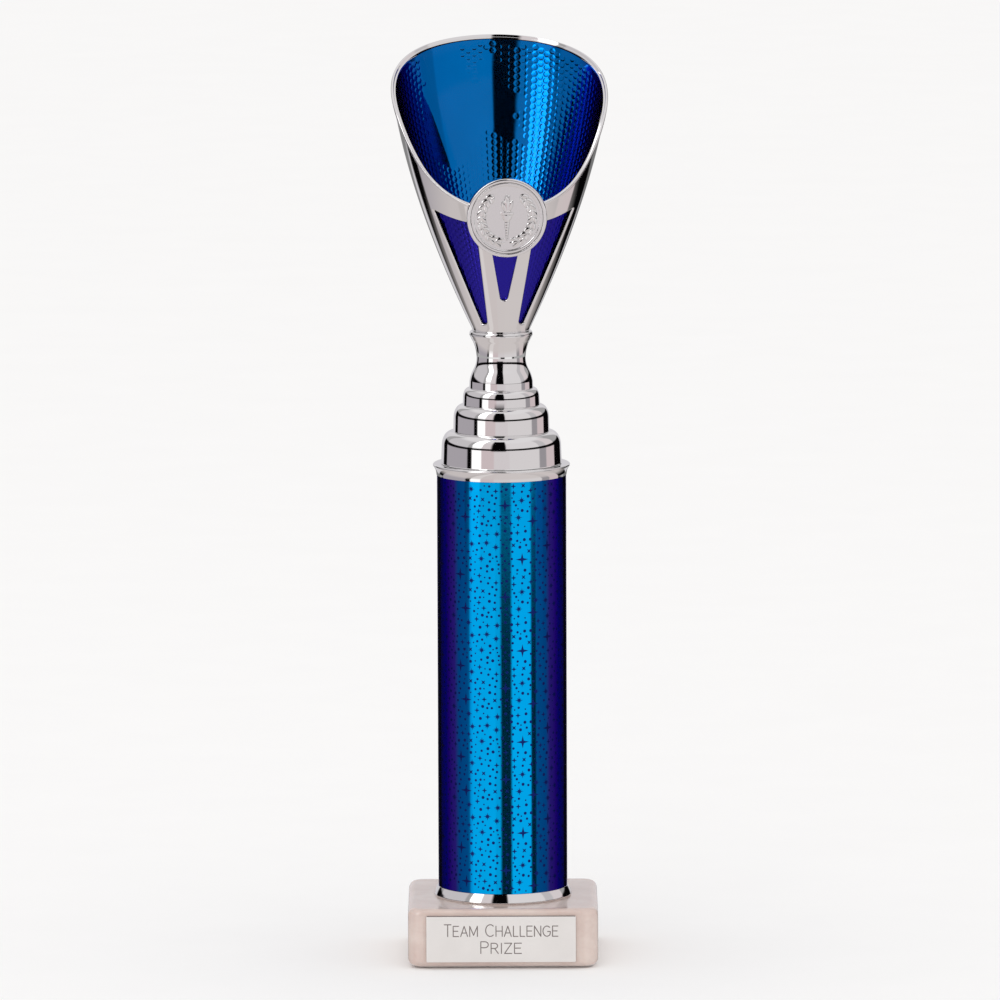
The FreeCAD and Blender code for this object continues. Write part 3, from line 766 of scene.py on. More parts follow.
def stroke(points, width):
    """Rectangles and round joints that cover a line of the given width."""
    shapes = []
    for here, there in zip(points, points[1:]):
        if math.dist(here, there) < 1e-4:
            continue
        along = (Vector(there) - Vector(here)).normalized()
        side = Vector((-along.y, along.x)) * width / 2
        a, b = Vector(here), Vector(there)
        shapes.append([tuple(a - side), tuple(b - side), tuple(b + side), tuple(a + side)])
    for point in points:
        shapes.append(dot(*point, width / 2, 8))
    return shapes


def lettering(text, middle, base, tall, small, full_width, pen):
    """One centred line of capitals, the first of each word taller than the rest."""
    sizes = [tall if i == 0 or text[i - 1] == " " else small for i in range(len(text))]
    gap = 0.24 * small
    widths = [0.45 * small if c == " " else LETTERS[c][0] * size for c, size in zip(text, sizes)]
    natural = sum(widths) + gap * (len(text) - 1)
    squeeze = full_width / natural
    x = middle - full_width / 2
    shapes = []
    for c, size, width in zip(text, sizes, widths):
        if c != " ":
            for line in LETTERS[c][1]:
                points = [(x + px * size * squeeze, base + py * size) for px, py in line]
                shapes += stroke(points, pen)
        x += (width + gap) * squeeze
    return shapes


# Each line: its words, how far its foot stands below the plate's upper edge, and its width.
PLATE_TEXT = [("TEAM CHALLENGE", 7.1, 39.4), ("PRIZE", 13.1, 14.1)]
TEXT_TALL, TEXT_SMALL, TEXT_PEN = 4.15, 3.6, 0.34


def engraving_plate():
    """A thin satin card with bevelled edges and two engraved lines."""
    front, back = PLATE_LOW.y, PLATE_HIGH.y
    bevel = 0.18
    x0, x1, z0, z1 = PLATE_LOW.x, PLATE_HIGH.x, PLATE_LOW.z, PLATE_HIGH.z

    def card(inset):
        left, right, low, high = x0 + inset, x1 - inset, z0 + inset, z1 - inset
        return eased([(left, low), (right, low), (right, high), (left, high)], 0.5 - inset)

    middle = (x0 + x1) / 2
    shapes = []
    for text, below_top, width in PLATE_TEXT:
        shapes += lettering(text, middle, z1 - below_top, TEXT_TALL, TEXT_SMALL, width, TEXT_PEN)
    flat, faces, marks = inlaid(card(bevel), shapes, [])
    points = [(x, front, z) for x, z in flat]
    rings = []
    for inset, y in ((bevel, front), (bevel * 0.3, front + bevel * 0.3), (0.0, front + bevel), (0.0, back)):
        rings.append(list(range(len(points), len(points) + len(card(inset)))))
        points += [(x, y, z) for x, z in card(inset)]
    for low, low_next, high_next, high in quads(rings):
        faces.append([low_next, low, high, high_next])
        # Painted shade: the bevel faces along the upper edge are given the dark material.
        painted_shade_edge = min(points[low_next][2], points[low][2]) > z1 - 1.5 * bevel
        marks.append(1 if painted_shade_edge else 0)      # the upper cut edge takes the dark engraved colour as painted shade
    faces.append(rings[-1][:])
    marks.append(0)
    piece = made("plate_engraved_and_edge_shade", points, faces, [PLATE, ENGRAVED_AND_EDGE_SHADE], None, marks)
    piece.data.set_sharp_from_angle(angle=math.radians(25))
    return piece


placed(engraving_plate(), "plate", "engraving_plate")


# ---- Cup: the flared surface -----------------------------------------------------------------
FLARE_FOOT = CUP_BOTTOM + SOCKET_DEPTH
FLARE_HEIGHT = CUP_TOP + 1.2 - FLARE_FOOT
CONTROL_HEIGHT = 59.1
FOOT_RADIUS, CONTROL_RADIUS, MOUTH_RADIUS = 9.7, 38.1, 39.1
WALL = 1.2
CUP_FLOOR_TOP = CUP_BOTTOM + 3.0


def flare_t(z):
    """Where a height lies along the flare's curve, 0 at its foot."""
    up = np.asarray(z, float) - FLARE_FOOT
    bend = 2 * CONTROL_HEIGHT - FLARE_HEIGHT
    return (CONTROL_HEIGHT - np.sqrt(np.maximum(CONTROL_HEIGHT ** 2 - bend * up, 0.0))) / bend


def flare_radius(z, inward=0.0):
    t = flare_t(z)
    near = inward * 1.06
    return ((1 - t) ** 2 * (FOOT_RADIUS - near) + 2 * t * (1 - t) * (CONTROL_RADIUS - near)
            + t ** 2 * (MOUTH_RADIUS - inward))


def flare_slope(z, inward=0.0):
    """Outward normal of the flare in (radius, height)."""
    step = 0.05
    z = np.asarray(z)
    rise = (flare_radius(z + step, inward) - flare_radius(z - step, inward)) / (2 * step)
    size = np.sqrt(1 + rise * rise)
    return 1 / size, -rise / size


HEIGHTS = np.linspace(FLARE_FOOT - 3.0, CUP_TOP + 6.0, 3000)
RADII = flare_radius(HEIGHTS)
STEPS = np.hypot(np.diff(HEIGHTS), np.diff(RADII))
LENGTHS = np.concatenate([[0.0], np.cumsum(STEPS)])
STRETCH = np.concatenate([[0.0], np.cumsum(STEPS / ((RADII[1:] + RADII[:-1]) / 2))])


def on_fan(angle, z):
    """The flare opened out flat without changing its angles, so that it can be filled with triangles."""
    rho = np.exp(np.interp(z, HEIGHTS, STRETCH))
    return np.stack([rho * np.cos(angle), rho * np.sin(angle)], axis=-1)


def on_flare(angle, z, inward=0.0):
    r = flare_radius(z, inward)
    return np.stack([r * np.cos(angle), r * np.sin(angle), np.broadcast_to(z, np.shape(r))], axis=-1)


# The mouth's edge seen from the side: gentle at the back, steep past the middle, easier in front.
MOUTH_BACK = [(39.7, CUP_TOP), (17.0, CUP_TOP - 6.4), (0.0, CUP_TOP - 19.4)]
MOUTH_FRONT = [
    (0.0, CUP_TOP - 19.4), (-13.0, CUP_TOP - 29.3), (-13.5, CUP_TOP - 43.6), (-29.5, CUP_TOP - 55.1),
]
MOUTH_RUN, MOUTH_RUN_SLOPE = 20.0, 0.72      # it carries on straight past the front
MOUTH_END = (MOUTH_FRONT[-1][0] - MOUTH_RUN, MOUTH_FRONT[-1][1] - MOUTH_RUN * MOUTH_RUN_SLOPE)
MOUTH = bezier(MOUTH_BACK, 60) + bezier(MOUTH_FRONT, 80)[1:] + [MOUTH_END]
MOUTH_Y = np.array([p[0] for p in MOUTH])[::-1]
MOUTH_Z = np.array([p[1] for p in MOUTH])[::-1]


def mouth_height(y, shift_y=0.0, shift_z=0.0):
    return np.interp(np.asarray(y) - shift_y, MOUTH_Y, MOUTH_Z) + shift_z


def mouth_on_flare(angles, inward=0.0, shift_y=0.0, shift_z=0.0):
    """Height of the mouth's edge on the flare at each angle."""
    low = np.full(len(angles), FLARE_FOOT + 1.0)
    high = np.full(len(angles), CUP_TOP + 1.0)
    for _ in range(40):
        middle = (low + high) / 2
        above = middle > mouth_height(flare_radius(middle, inward) * np.sin(angles), shift_y, shift_z)
        high = np.where(above, middle, high)
        low = np.where(above, low, middle)
    return low


def mouth_loop(spacing=1.1):
    """Evenly spaced (angle, height) round the mouth's outer edge."""
    angles = np.linspace(0, 2 * math.pi, 1441)
    heights = mouth_on_flare(angles)
    places = on_flare(angles, heights)
    along = np.concatenate([[0.0], np.cumsum(np.linalg.norm(np.diff(places, axis=0), axis=1))])
    count = int(along[-1] / spacing)
    wanted = np.arange(count) * along[-1] / count
    angles = np.interp(wanted, along, angles)
    return angles, mouth_on_flare(angles)


def inside(loop, places):
    """Which places lie inside a closed loop, by counting crossings."""
    x, y = places[:, 0], places[:, 1]
    odd = np.zeros(len(places), bool)
    for (ax, ay), (bx, by) in zip(loop, np.roll(loop, -1, axis=0)):
        if ay == by:
            continue
        crosses = ((ay > y) != (by > y)) & (x < (bx - ax) * (y - ay) / (by - ay) + ax)
        odd ^= crosses
    return odd


def filled(loops, spacing, inward):
    """Fills the flare between closed loops of (angle, height): angles, heights and triangles."""
    flat_loops = [on_fan(a, z) for a, z in loops]
    solid_loops = np.concatenate([on_flare(a, z, inward) for a, z in loops])
    rows_a, rows_z = [], []
    for k, along in enumerate(np.arange(LENGTHS[0], LENGTHS[-1], spacing * 0.866)):
        z = float(np.interp(along, LENGTHS, HEIGHTS))
        around = max(12, int(2 * math.pi * float(flare_radius(z, inward)) / spacing))
        rows_a.append((np.arange(around) + (k % 2) / 2) * 2 * math.pi / around)
        rows_z.append(np.full(around, z))
    angle, z = np.concatenate(rows_a), np.concatenate(rows_z)
    flat = on_fan(angle, z)
    keep = np.zeros(len(flat), bool)
    for loop in flat_loops:
        keep ^= inside(loop, flat)
    angle, z, flat = angle[keep], z[keep], flat[keep]
    places = on_flare(angle, z, inward)
    near = np.array([np.min(np.linalg.norm(solid_loops - p, axis=1)) for p in places])
    keep = near > spacing * 0.55
    angle, z, flat = angle[keep], z[keep], flat[keep]

    all_angle = np.concatenate([a for a, _ in loops] + [angle])
    all_z = np.concatenate([h for _, h in loops] + [z])
    points = [Vector(p) for p in np.concatenate(flat_loops + [flat])]
    edges, start = [], 0
    for loop in flat_loops:
        edges += [(start + i, start + (i + 1) % len(loop)) for i in range(len(loop))]
        start += len(loop)
    _, _, triangles, origins, _, _ = delaunay_2d_cdt(points, edges, [], 0, 1e-9)
    source = [o[0] for o in origins]
    corners = np.array([[source[i] for i in t] for t in triangles])
    middles = np.array([tuple(v) for v in points])[corners].mean(axis=1)
    keep = np.zeros(len(corners), bool)
    for loop in flat_loops:
        keep ^= inside(loop, middles)
    return all_angle, all_z, corners[keep]


# Openings in the shell as outlines of (x, height over the cup's bottom), right-hand side.
FRONT_SIDE = [
    (24.4, 45.9), ("curve", (17.5, 42.6), (10.5, 41.9)), (5.6, 6.2),
    ("arc", (6.6, 5.1), (7.8, 5.9)), ("curve", (16.6, 26.5), (24.4, 45.9)),
]
FRONT_MIDDLE = [(4.7, 32.5), (-4.7, 32.5), (-1.35, 15.2), ("arc", (0, 14.0), (1.35, 15.2))]
BACK_SIDE = [
    (30.4, 74.0), ("arc", (30.2, 76.4), (28.4, 77.6)), ("curve", (22.5, 80.4), (17.4, 81.6)),
    ("arc", (15.9, 81.1), (15.2, 79.6)), (5.6, 6.2),
    ("arc", (6.6, 5.1), (7.8, 5.9)), ("curve", (21.6, 41.0), (30.4, 74.0)),
]
BACK_MIDDLE = [
    (11.0, 81.8), ("arc", (10.7, 83.3), (9.4, 83.9)), ("curve", (0, 85.4), (-9.4, 83.9)),
    ("arc", (-10.7, 83.3), (-11.0, 81.8)), (-1.35, 15.2), ("arc", (0, 14.0), (1.35, 15.2)),
]
WINDOW_BEVEL = 0.5


def window_outlines():
    """Every opening as (points, side), side -1 in front and +1 behind, counter-clockwise."""
    result = []
    for side_path, middle_path, side in ((FRONT_SIDE, FRONT_MIDDLE, -1), (BACK_SIDE, BACK_MIDDLE, 1)):
        right = drawn(side_path, 14)
        if math.dist(right[0], right[-1]) < 1e-6:
            right.pop()
        left = [(-x, z) for x, z in right][::-1]
        for outline in (right, left, drawn(middle_path, 10)):
            outline = evenly(eased(outline, 0.45), 1.3)
            area = sum(a[0] * b[1] - b[0] * a[1] for a, b in zip(outline, outline[1:] + outline[:1]))
            if area < 0:
                outline.reverse()
            result.append(([(x, z + CUP_BOTTOM) for x, z in outline], side))
    return result


def grown(outline, by):
    """A counter-clockwise outline moved outwards."""
    points = np.array(outline)
    before = points - np.roll(points, 1, axis=0)
    after = np.roll(points, -1, axis=0) - points
    result = []
    for p, a, b in zip(points, before, after):
        a, b = a / np.linalg.norm(a), b / np.linalg.norm(b)
        n = np.array([a[1] + b[1], -a[0] - b[0]])
        n /= max(np.linalg.norm(n), 1e-9)
        reach = by / max(0.5, np.dot(n, np.array([a[1], -a[0]])))
        result.append(p + n * reach)
    return np.array(result)


def through(outline, side, inward):
    """Angles and heights where an outline's points, pushed along Y, meet the flare."""
    x, z = outline[:, 0], outline[:, 1]
    r = flare_radius(z, inward)
    y = side * np.sqrt(np.maximum(r * r - x * x, 0.01))
    return np.arctan2(y, x), z


class Builder:
    """Collects points and faces that are later welded where they meet."""

    def __init__(self):
        self.points = []
        self.faces = []

    def sheet(self, places, triangles, flip):
        start = len(self.points)
        self.points += [tuple(p) for p in places]
        for a, b, c in triangles:
            face = [start + a, start + b, start + c]
            self.faces.append([face[0], face[2], face[1]] if flip else face)

    def strips(self, rings, flip=False):
        """Quads between closed rings of equal length."""
        rows = []
        for ring in rings:
            rows.append(range(len(self.points), len(self.points) + len(ring)))
            self.points += [tuple(p) for p in ring]
        self.faces += [face[::-1] if flip else face for face in quads(rows)]


def unit(v):
    return v / np.linalg.norm(v, axis=-1, keepdims=True)


def flare_normals(angle, z, inward=0.0):
    nr, nz = flare_slope(z, inward)
    return np.stack([nr * np.cos(angle), nr * np.sin(angle), nz], axis=-1)


# The rim's section: how far out from the wall, and how far up from the mouth's edge.
RIM_SECTION = [
    (0.0, -1.42), (0.22, -1.36), (0.36, -1.2), (0.40, -1.0), (0.40, -0.45), (0.36, -0.2), (0.24, -0.06),
    (0.05, 0.0), (-0.35, 0.0), (-0.52, -0.06), (-0.6, -0.2), (-0.6, -0.72), (-0.66, -0.84),
    (-0.80, -0.88), (-1.05, -0.88), (-1.16, -0.93), (-1.2, -1.06),
]


def cup_wall():
    """The openwork wall with its bead, its bevelled openings and its floor, as one closed skin."""
    build = Builder()
    angle, z = mouth_loop()
    edge = on_flare(angle, z)
    normal = flare_normals(angle, z)
    along = unit(np.roll(edge, -1, axis=0) - np.roll(edge, 1, axis=0))
    up = unit(np.cross(normal, along))
    if up[:, 2].mean() < 0:
        up = -up

    def lowered(by):
        place = edge + up * by
        a = np.arctan2(place[:, 1], place[:, 0])
        return a, place[:, 2]

    band_foot = lowered(-1.9)
    rings = [on_flare(*band_foot)]
    for out, rise in RIM_SECTION:
        rings.append(edge + normal * out + up * rise)
    rings[1] = on_flare(*lowered(RIM_SECTION[0][1]))
    rings[-1] = on_flare(*lowered(RIM_SECTION[-1][1]), WALL)
    rings.append(on_flare(*band_foot, WALL))
    build.strips(rings)

    outer_loops, inner_loops = [band_foot], [band_foot]
    for outline, side in window_outlines():
        rings = []
        for k, turn in enumerate(np.linspace(0, math.pi / 2, 5)):
            wide = grown(outline, WINDOW_BEVEL * (1 - math.sin(turn)))
            a, h = through(wide, side, 0.0)
            if k == 0:
                outer_loops.append((a, h))
            rings.append(on_flare(a, h) - flare_normals(a, h) * WINDOW_BEVEL * (1 - math.cos(turn)))
        a, h = through(np.array(outline), side, WALL)
        inner_loops.append((a, h))
        rings.append(on_flare(a, h, WALL))
        build.strips(rings, flip=side < 0)

    around = 120
    foot = np.arange(around) * 2 * math.pi / around
    outer_foot = (foot, np.full(around, FLARE_FOOT))
    inner_foot = (foot, np.full(around, CUP_FLOOR_TOP))
    outer_loops.append(outer_foot)
    inner_loops.append(inner_foot)
    for loops, inward, flip, spacing in ((outer_loops, 0.0, True, 1.5), (inner_loops, WALL, False, 2.4)):
        a, h, triangles = filled(loops, spacing, inward)
        build.sheet(on_flare(a, h, inward), triangles, flip)

    def ring(radius, height):
        return np.stack([radius * np.cos(foot), radius * np.sin(foot), np.full(around, height)], axis=-1)

    inner_radius = float(flare_radius(CUP_FLOOR_TOP, WALL))
    build.strips([
        on_flare(*inner_foot, WALL), ring(inner_radius - 0.4, CUP_FLOOR_TOP), ring(ROD_HOLE, CUP_FLOOR_TOP),
        ring(ROD_HOLE, CUP_BOTTOM), ring(FOOT_RADIUS - 0.3, CUP_BOTTOM), ring(FOOT_RADIUS, CUP_BOTTOM + 0.3),
        on_flare(*outer_foot),
    ])
    return build


HOLDER_RADIUS = 13.85
HOLDER_THICK = 3.2
DISC_RADIUS = 12.5
NECK_RADIUS = HOLDER_RADIUS - 0.35
HOLDER_BACK = 28.6             # from the cup's axis to the holder's back face
HOLDER_HEIGHT = 45.0           # of its middle over the cup's bottom
HOLDER_TURN = math.radians(90.0 + 6.0)       # upright, then leaning back
HOLDER_MIDDLE = Matrix.Translation((0, -HOLDER_BACK, CUP_BOTTOM + HOLDER_HEIGHT))
HOLDER_PLACE = HOLDER_MIDDLE @ Matrix.Rotation(HOLDER_TURN, 4, "X")


def by_matrix(points, matrix):
    return [tuple(matrix @ Vector(p)) for p in points]


def combined(base, other, operation):
    """The base object's mesh after a boolean with another object, which is then deleted."""
    modifier = base.modifiers.new("join", "BOOLEAN")
    modifier.operation = operation
    modifier.solver = "EXACT"
    modifier.object = other
    bpy.context.view_layer.update()
    result = base.evaluated_get(bpy.context.evaluated_depsgraph_get())
    mesh = bpy.data.meshes.new_from_object(result)
    base.modifiers.clear()
    base.data = mesh
    bpy.data.objects.remove(other)
    return base


def holder_neck():
    """The drum between the wall and the holder's ring, cut by the mouth and ending within the wall."""
    drum_profile = [(0.0, -24.0), (NECK_RADIUS, -24.0), (NECK_RADIUS, 0.4), (0.0, 0.4)]
    points, faces, _ = lathed(drum_profile, closed=False, segments=160)
    drum = made("drum", by_matrix(points, HOLDER_PLACE), faces, [CHROME])
    depths = np.linspace(-48, -2, 60)
    side = [(y, float(h)) for y, h in zip(depths, mouth_height(depths, 0.0, -1.0))]
    side += [(-2.0, CUP_TOP + 20), (-48.0, CUP_TOP + 20)]
    count = len(side)
    points = [(-40.0, y, h) for y, h in side] + [(40.0, y, h) for y, h in side]
    faces = [list(range(count)), list(range(2 * count - 1, count - 1, -1))]
    faces += [[i, count + i, count + (i + 1) % count, (i + 1) % count] for i in range(count)]
    above = made("above", points, [face[::-1] for face in faces], [CHROME])
    drum = combined(drum, above, "DIFFERENCE")
    heights = np.linspace(FLARE_FOOT + 1.0, CUP_TOP, 80)
    wall_middle = [(float(flare_radius(h, WALL / 2)), float(h)) for h in heights]
    profile = [(0.0, heights[0]), *wall_middle, (0.0, heights[-1])]
    points, faces, _ = lathed(profile, closed=False, segments=200)
    core = made("core", points, faces, [CHROME])
    return combined(drum, core, "DIFFERENCE")


def holder_ring():
    profile = [(0.0, 0.0), (HOLDER_RADIUS - 0.5, 0.0)]
    profile += arc((HOLDER_RADIUS - 0.5, 0.0), (HOLDER_RADIUS - 0.15, 0.15), (HOLDER_RADIUS, 0.5), 6)[1:]
    profile += arc((HOLDER_RADIUS, HOLDER_THICK - 0.55), (HOLDER_RADIUS - 0.16, HOLDER_THICK - 0.16),
                   (HOLDER_RADIUS - 0.55, HOLDER_THICK), 7)
    profile += [(DISC_RADIUS + 0.4, HOLDER_THICK)]
    profile += arc((DISC_RADIUS + 0.3, HOLDER_THICK - 0.01), (DISC_RADIUS + 0.1, HOLDER_THICK - 0.1),
                   (DISC_RADIUS + 0.05, HOLDER_THICK - 0.3), 4)
    profile += [(DISC_RADIUS + 0.05, 1.6), (0.0, 1.6)]
    points, faces, _ = lathed(profile, closed=False, segments=160)
    return made("ring", by_matrix(points, HOLDER_PLACE), faces, [CHROME])


def read(items, attribute, width=1, kind=float):
    """One attribute of every item in a mesh, as an array."""
    values = np.empty(len(items) * width, kind)
    items.foreach_get(attribute, values)
    return values.reshape(-1, width) if width > 1 else values


def true_normals(mesh):
    """Gives every corner on the flare or the drum its exact normal, and leaves the others smooth."""
    mesh.set_sharp_from_angle(angle=math.radians(38))
    normals = read(mesh.corner_normals, "vector", 3)
    places = read(mesh.vertices, "co", 3) / MM
    flat = np.repeat(read(mesh.polygons, "normal", 3), read(mesh.polygons, "loop_total", kind=int), axis=0)
    p = places[read(mesh.loops, "vertex_index", kind=int)]

    def take(on, exact, limit_deg):
        good = on & (np.einsum("ij,ij->i", exact, flat) > math.cos(math.radians(limit_deg)))
        normals[good] = exact[good]

    angle, r = np.arctan2(p[:, 1], p[:, 0]), np.hypot(p[:, 0], p[:, 1])
    on = (np.abs(r - flare_radius(p[:, 2])) < 0.02) & (p[:, 2] > FLARE_FOOT + 0.01)
    take(on, flare_normals(angle, p[:, 2]), 24.0)
    back = np.array(HOLDER_PLACE.inverted())
    local = p @ back[:3, :3].T + back[:3, 3]
    across = np.hypot(local[:, 0], local[:, 1])
    on = (np.abs(across - HOLDER_RADIUS) < 0.02) | (np.abs(across - NECK_RADIUS) < 0.02)
    on &= local[:, 2] < HOLDER_THICK
    out = np.stack([local[:, 0] / np.maximum(across, 1e-6), local[:, 1] / np.maximum(across, 1e-6),
                    np.zeros(len(p))], axis=-1)
    take(on, out @ np.array(HOLDER_PLACE)[:3, :3].T, 24.0)
    mesh.normals_split_custom_set(normals.tolist())


def reworked(piece, change):
    """Lets change edit the piece's mesh, then points its faces outwards."""
    work = bmesh.new()
    work.from_mesh(piece.data)
    change(work)
    bmesh.ops.recalc_face_normals(work, faces=work.faces)
    work.to_mesh(piece.data)
    work.free()


def cup_shell():
    build = cup_wall()
    shell = made("cup_openwork", build.points, build.faces, [CHROME])
    reworked(shell, lambda work: bmesh.ops.remove_doubles(work, verts=work.verts, dist=0.004 * MM))
    shell = combined(shell, holder_neck(), "UNION")
    shell = combined(shell, holder_ring(), "UNION")
    shell.data.polygons.foreach_set("use_smooth", [True] * len(shell.data.polygons))
    true_normals(shell.data)
    return shell


placed(cup_shell(), "silver_plastic", "cup_shell", turned=True)


# ---- Cup liner -------------------------------------------------------------------------------
LINER_INWARD = 1.36
LINER_COLUMNS = 108
LINER_PITCH = 2.3
DIMPLE = 0.055
LINER_STEPS = np.hypot(np.diff(HEIGHTS), np.diff(flare_radius(HEIGHTS, LINER_INWARD)))
LINER_LENGTHS = np.concatenate([[0.0], np.cumsum(LINER_STEPS)])
# A smooth zone in the back of the liner, facing out of the mouth: a star on the right and one broad
# area on the left, given by bearing and reach, in degrees and millimetres, about a point
# (x, height above the cup's bottom).
STAR_MIDDLE = (-4.0, 78.0)
STAR_EDGE = [
    (36, 9.4), (85, 18.5), (98, 10.5), (110, 6.1), (118, 27.0), (135, 29.0), (160, 22.0), (180, 20.4),
    (205, 22.0), (225, 25.0), (245, 25.0), (262, 13.0), (282, 9.1), (308, 16.0), (316, 21.8),
    (339, 11.0), (357, 15.2),
]


def liner_place(angle, along, inward):
    z = np.interp(along, LINER_LENGTHS, HEIGHTS)
    r = flare_radius(z, LINER_INWARD)
    nr, nz = flare_slope(z, LINER_INWARD)
    lift = inward - LINER_INWARD
    return ((r - nr * lift) * math.cos(angle), (r - nr * lift) * math.sin(angle), z - nz * lift)


def in_star(angle, along):
    """Whether a place on the liner lies inside its smooth star."""
    x, y, z = liner_place(angle, along, LINER_INWARD)
    if y < 0:
        return False
    across, up = x - STAR_MIDDLE[0], z - CUP_BOTTOM - STAR_MIDDLE[1]
    bearing = math.degrees(math.atan2(up, across))
    bearings = [edge[0] for edge in STAR_EDGE]
    reaches = [edge[1] for edge in STAR_EDGE]
    return math.hypot(across, up) < np.interp(bearing, bearings, reaches, period=360)


def cup_liner():
    """A formed sheet of low flat-topped domes in a honeycomb, round a smooth star."""
    columns, pitch = LINER_COLUMNS, LINER_PITCH
    half = pitch / 2
    hexagon = ((2, 0), (1, 1), (-1, 1), (-2, 0), (-1, -1), (1, -1))
    third = 2 * math.pi / columns / 3
    lowest = float(np.interp(CUP_FLOOR_TOP, HEIGHTS, LINER_LENGTHS))
    fine = np.linspace(0, 2 * math.pi, 721)
    tops = np.interp(mouth_on_flare(fine, LINER_INWARD, 1.3, -0.8), HEIGHTS, LINER_LENGTHS)
    points, faces, corners = [], [], {}

    def limit(angle):
        return float(np.interp(angle % (2 * math.pi), fine, tops))

    def settled(angle, along):
        return min(max(along, lowest), limit(angle))

    def corner(i, j):
        key = (i % (3 * columns), j)
        if key not in corners:
            angle = key[0] * third
            corners[key] = len(points)
            points.append(liner_place(angle, settled(angle, j * pitch / 2), LINER_INWARD))
        return corners[key]

    first, last = int(lowest / (pitch / 2)) - 2, int(max(tops) / (pitch / 2)) + 3
    for i in range(columns):
        angle = 3 * i * third
        for j in range(first, last):
            if (j + i) % 2:
                continue
            along = j * half
            around = [corner(3 * i + di, j + dj) for di, dj in hexagon]
            limits = [limit(angle + d * third) for d in (-2, 0, 2)]
            if along - half > max(limits) or along + half < lowest:
                continue
            whole = along + half < min(limits) and along - half > lowest and not in_star(angle, along)
            if not whole:
                faces.append(around)
                continue
            start = len(points)
            for share, lift in ((0.90, 0.0), (0.72, 0.85), (0.36, 1.0)):
                for k in range(12):
                    turn = math.pi * k / 6
                    a = angle + 3 * third * 0.577 * share * math.cos(turn)
                    s = along + pitch / 2 * share * math.sin(turn)
                    points.append(liner_place(a, s, LINER_INWARD + DIMPLE * lift))
            points.append(liner_place(angle, along, LINER_INWARD + DIMPLE))
            for k in range(12):
                n = (k + 1) % 12
                for low in (start, start + 12):
                    faces.append([low + k, low + n, low + 12 + n, low + 12 + k])
                faces.append([start + 24 + k, start + 24 + n, start + 36])
            for c in range(6):
                here, there = around[c], around[(c + 1) % 6]
                ring = [(2 * c + d) % 12 for d in (0, 1, 2)]
                faces.append([here, start + ring[1], start + ring[0]])
                faces.append([here, there, start + ring[1]])
                faces.append([there, start + ring[2], start + ring[1]])
    return points, faces


def without_slivers(work):
    bmesh.ops.dissolve_degenerate(work, edges=work.edges, dist=0.01 * MM)
    loose = [v for v in work.verts if not v.link_faces]
    bmesh.ops.delete(work, geom=loose, context="VERTS")


def liner_piece():
    points, faces = cup_liner()
    liner = made("cup_liner_dimpled", points, faces, [LINER])
    reworked(liner, without_slivers)
    liner.data.set_sharp_from_angle(angle=math.radians(24))
    return liner


placed(liner_piece(), "blue_liner", "cup_liner", turned=True)


# ---- Centre disc -----------------------------------------------------------------------------
DISC_BASE, DISC_FIELD, DISC_FACE = 2.0, 2.93, 3.1
# Each tongue of the flame: its middle, its lean in radians, its length and its width.
FLAME_TONGUES = [
    (0.0, 4.9, 1.60, 6.6, 1.9), (-0.95, 3.9, 1.98, 4.6, 1.35), (1.05, 4.0, 1.20, 4.9, 1.4),
    (0.35, 6.3, 1.28, 3.8, 0.9), (-0.4, 5.9, 1.85, 3.4, 0.9),
]


def leaf_height(x, y, middle_x, middle_y, angle, length, width):
    """A pointed leaf with a ridge down its middle, 1 at the ridge and 0 outside."""
    u = (x - middle_x) * math.cos(angle) + (y - middle_y) * math.sin(angle)
    v = -(x - middle_x) * math.sin(angle) + (y - middle_y) * math.cos(angle)
    half = width / 2 * np.clip(1 - (2 * u / length) ** 2, 0, 1) ** 0.8
    share = np.where(half > 1e-4, np.abs(v) / np.maximum(half, 1e-4), 9.0)
    return np.clip(1 - share, 0, 1) ** 0.55


def smooth_band(value, low, high):
    t = np.clip((value - low) / (high - low), 0, 1)
    return t * t * (3 - 2 * t)


def disc_relief(x, y):
    """Height of the struck design over the field: a flaming torch between two laurel branches."""
    height = np.zeros_like(x)
    half = np.interp(y, [-8.0, -7.4, -1.2, -0.6], [0.28, 0.36, 0.95, 1.05])
    handle = np.where((y > -8.0) & (y < -0.5), np.clip(1 - (np.abs(x) / half) ** 2, 0, 1) ** 0.5, 0)
    grooves = 1 - 0.3 * (np.abs(np.sin(y * 3.4)) > 0.93)
    height = np.maximum(height, 0.38 * handle * grooves)
    half = np.interp(y, [-0.9, -0.2, 0.9, 1.5, 2.1], [0.9, 1.5, 1.95, 2.3, 2.3])
    bowl = np.where((y > -0.9) & (y < 2.1), np.clip(1 - (np.abs(x) / half) ** 2, 0, 1) ** 0.5, 0)
    height = np.maximum(height, 0.44 * bowl * (1 - 0.25 * (np.abs(y - 1.2) < 0.14)))
    for cx, cy, lean, length, width in FLAME_TONGUES:
        height = np.maximum(height, 0.44 * leaf_height(x, y, cx, cy, lean, length, width * 1.25))
    branch = 8.85
    for i in range(10):
        around = math.radians(-74 + i * 13.6)
        for side in (-1, 1):
            for lean, out, size in ((-0.50, 0.82, 2.9), (0.50, -0.82, 2.7), (0.0, 0.0, 2.4)):
                if lean == 0.0 and i % 2:
                    continue
                r = branch + out
                turn = around + math.pi / 2 - lean
                cx, cy = side * r * math.cos(around + 0.05), r * math.sin(around + 0.05)
                angle = turn if side > 0 else math.pi - turn
                height = np.maximum(height, 0.36 * leaf_height(x, y, cx, cy, angle, size, 1.4))
    r = np.hypot(x, y)
    bearing = np.degrees(np.arctan2(y, np.abs(x)))
    stem = np.clip(1 - np.abs(r - branch) / 0.22, 0, 1) * ((bearing > -84) & (bearing < 50))
    return np.maximum(height, 0.18 * stem)


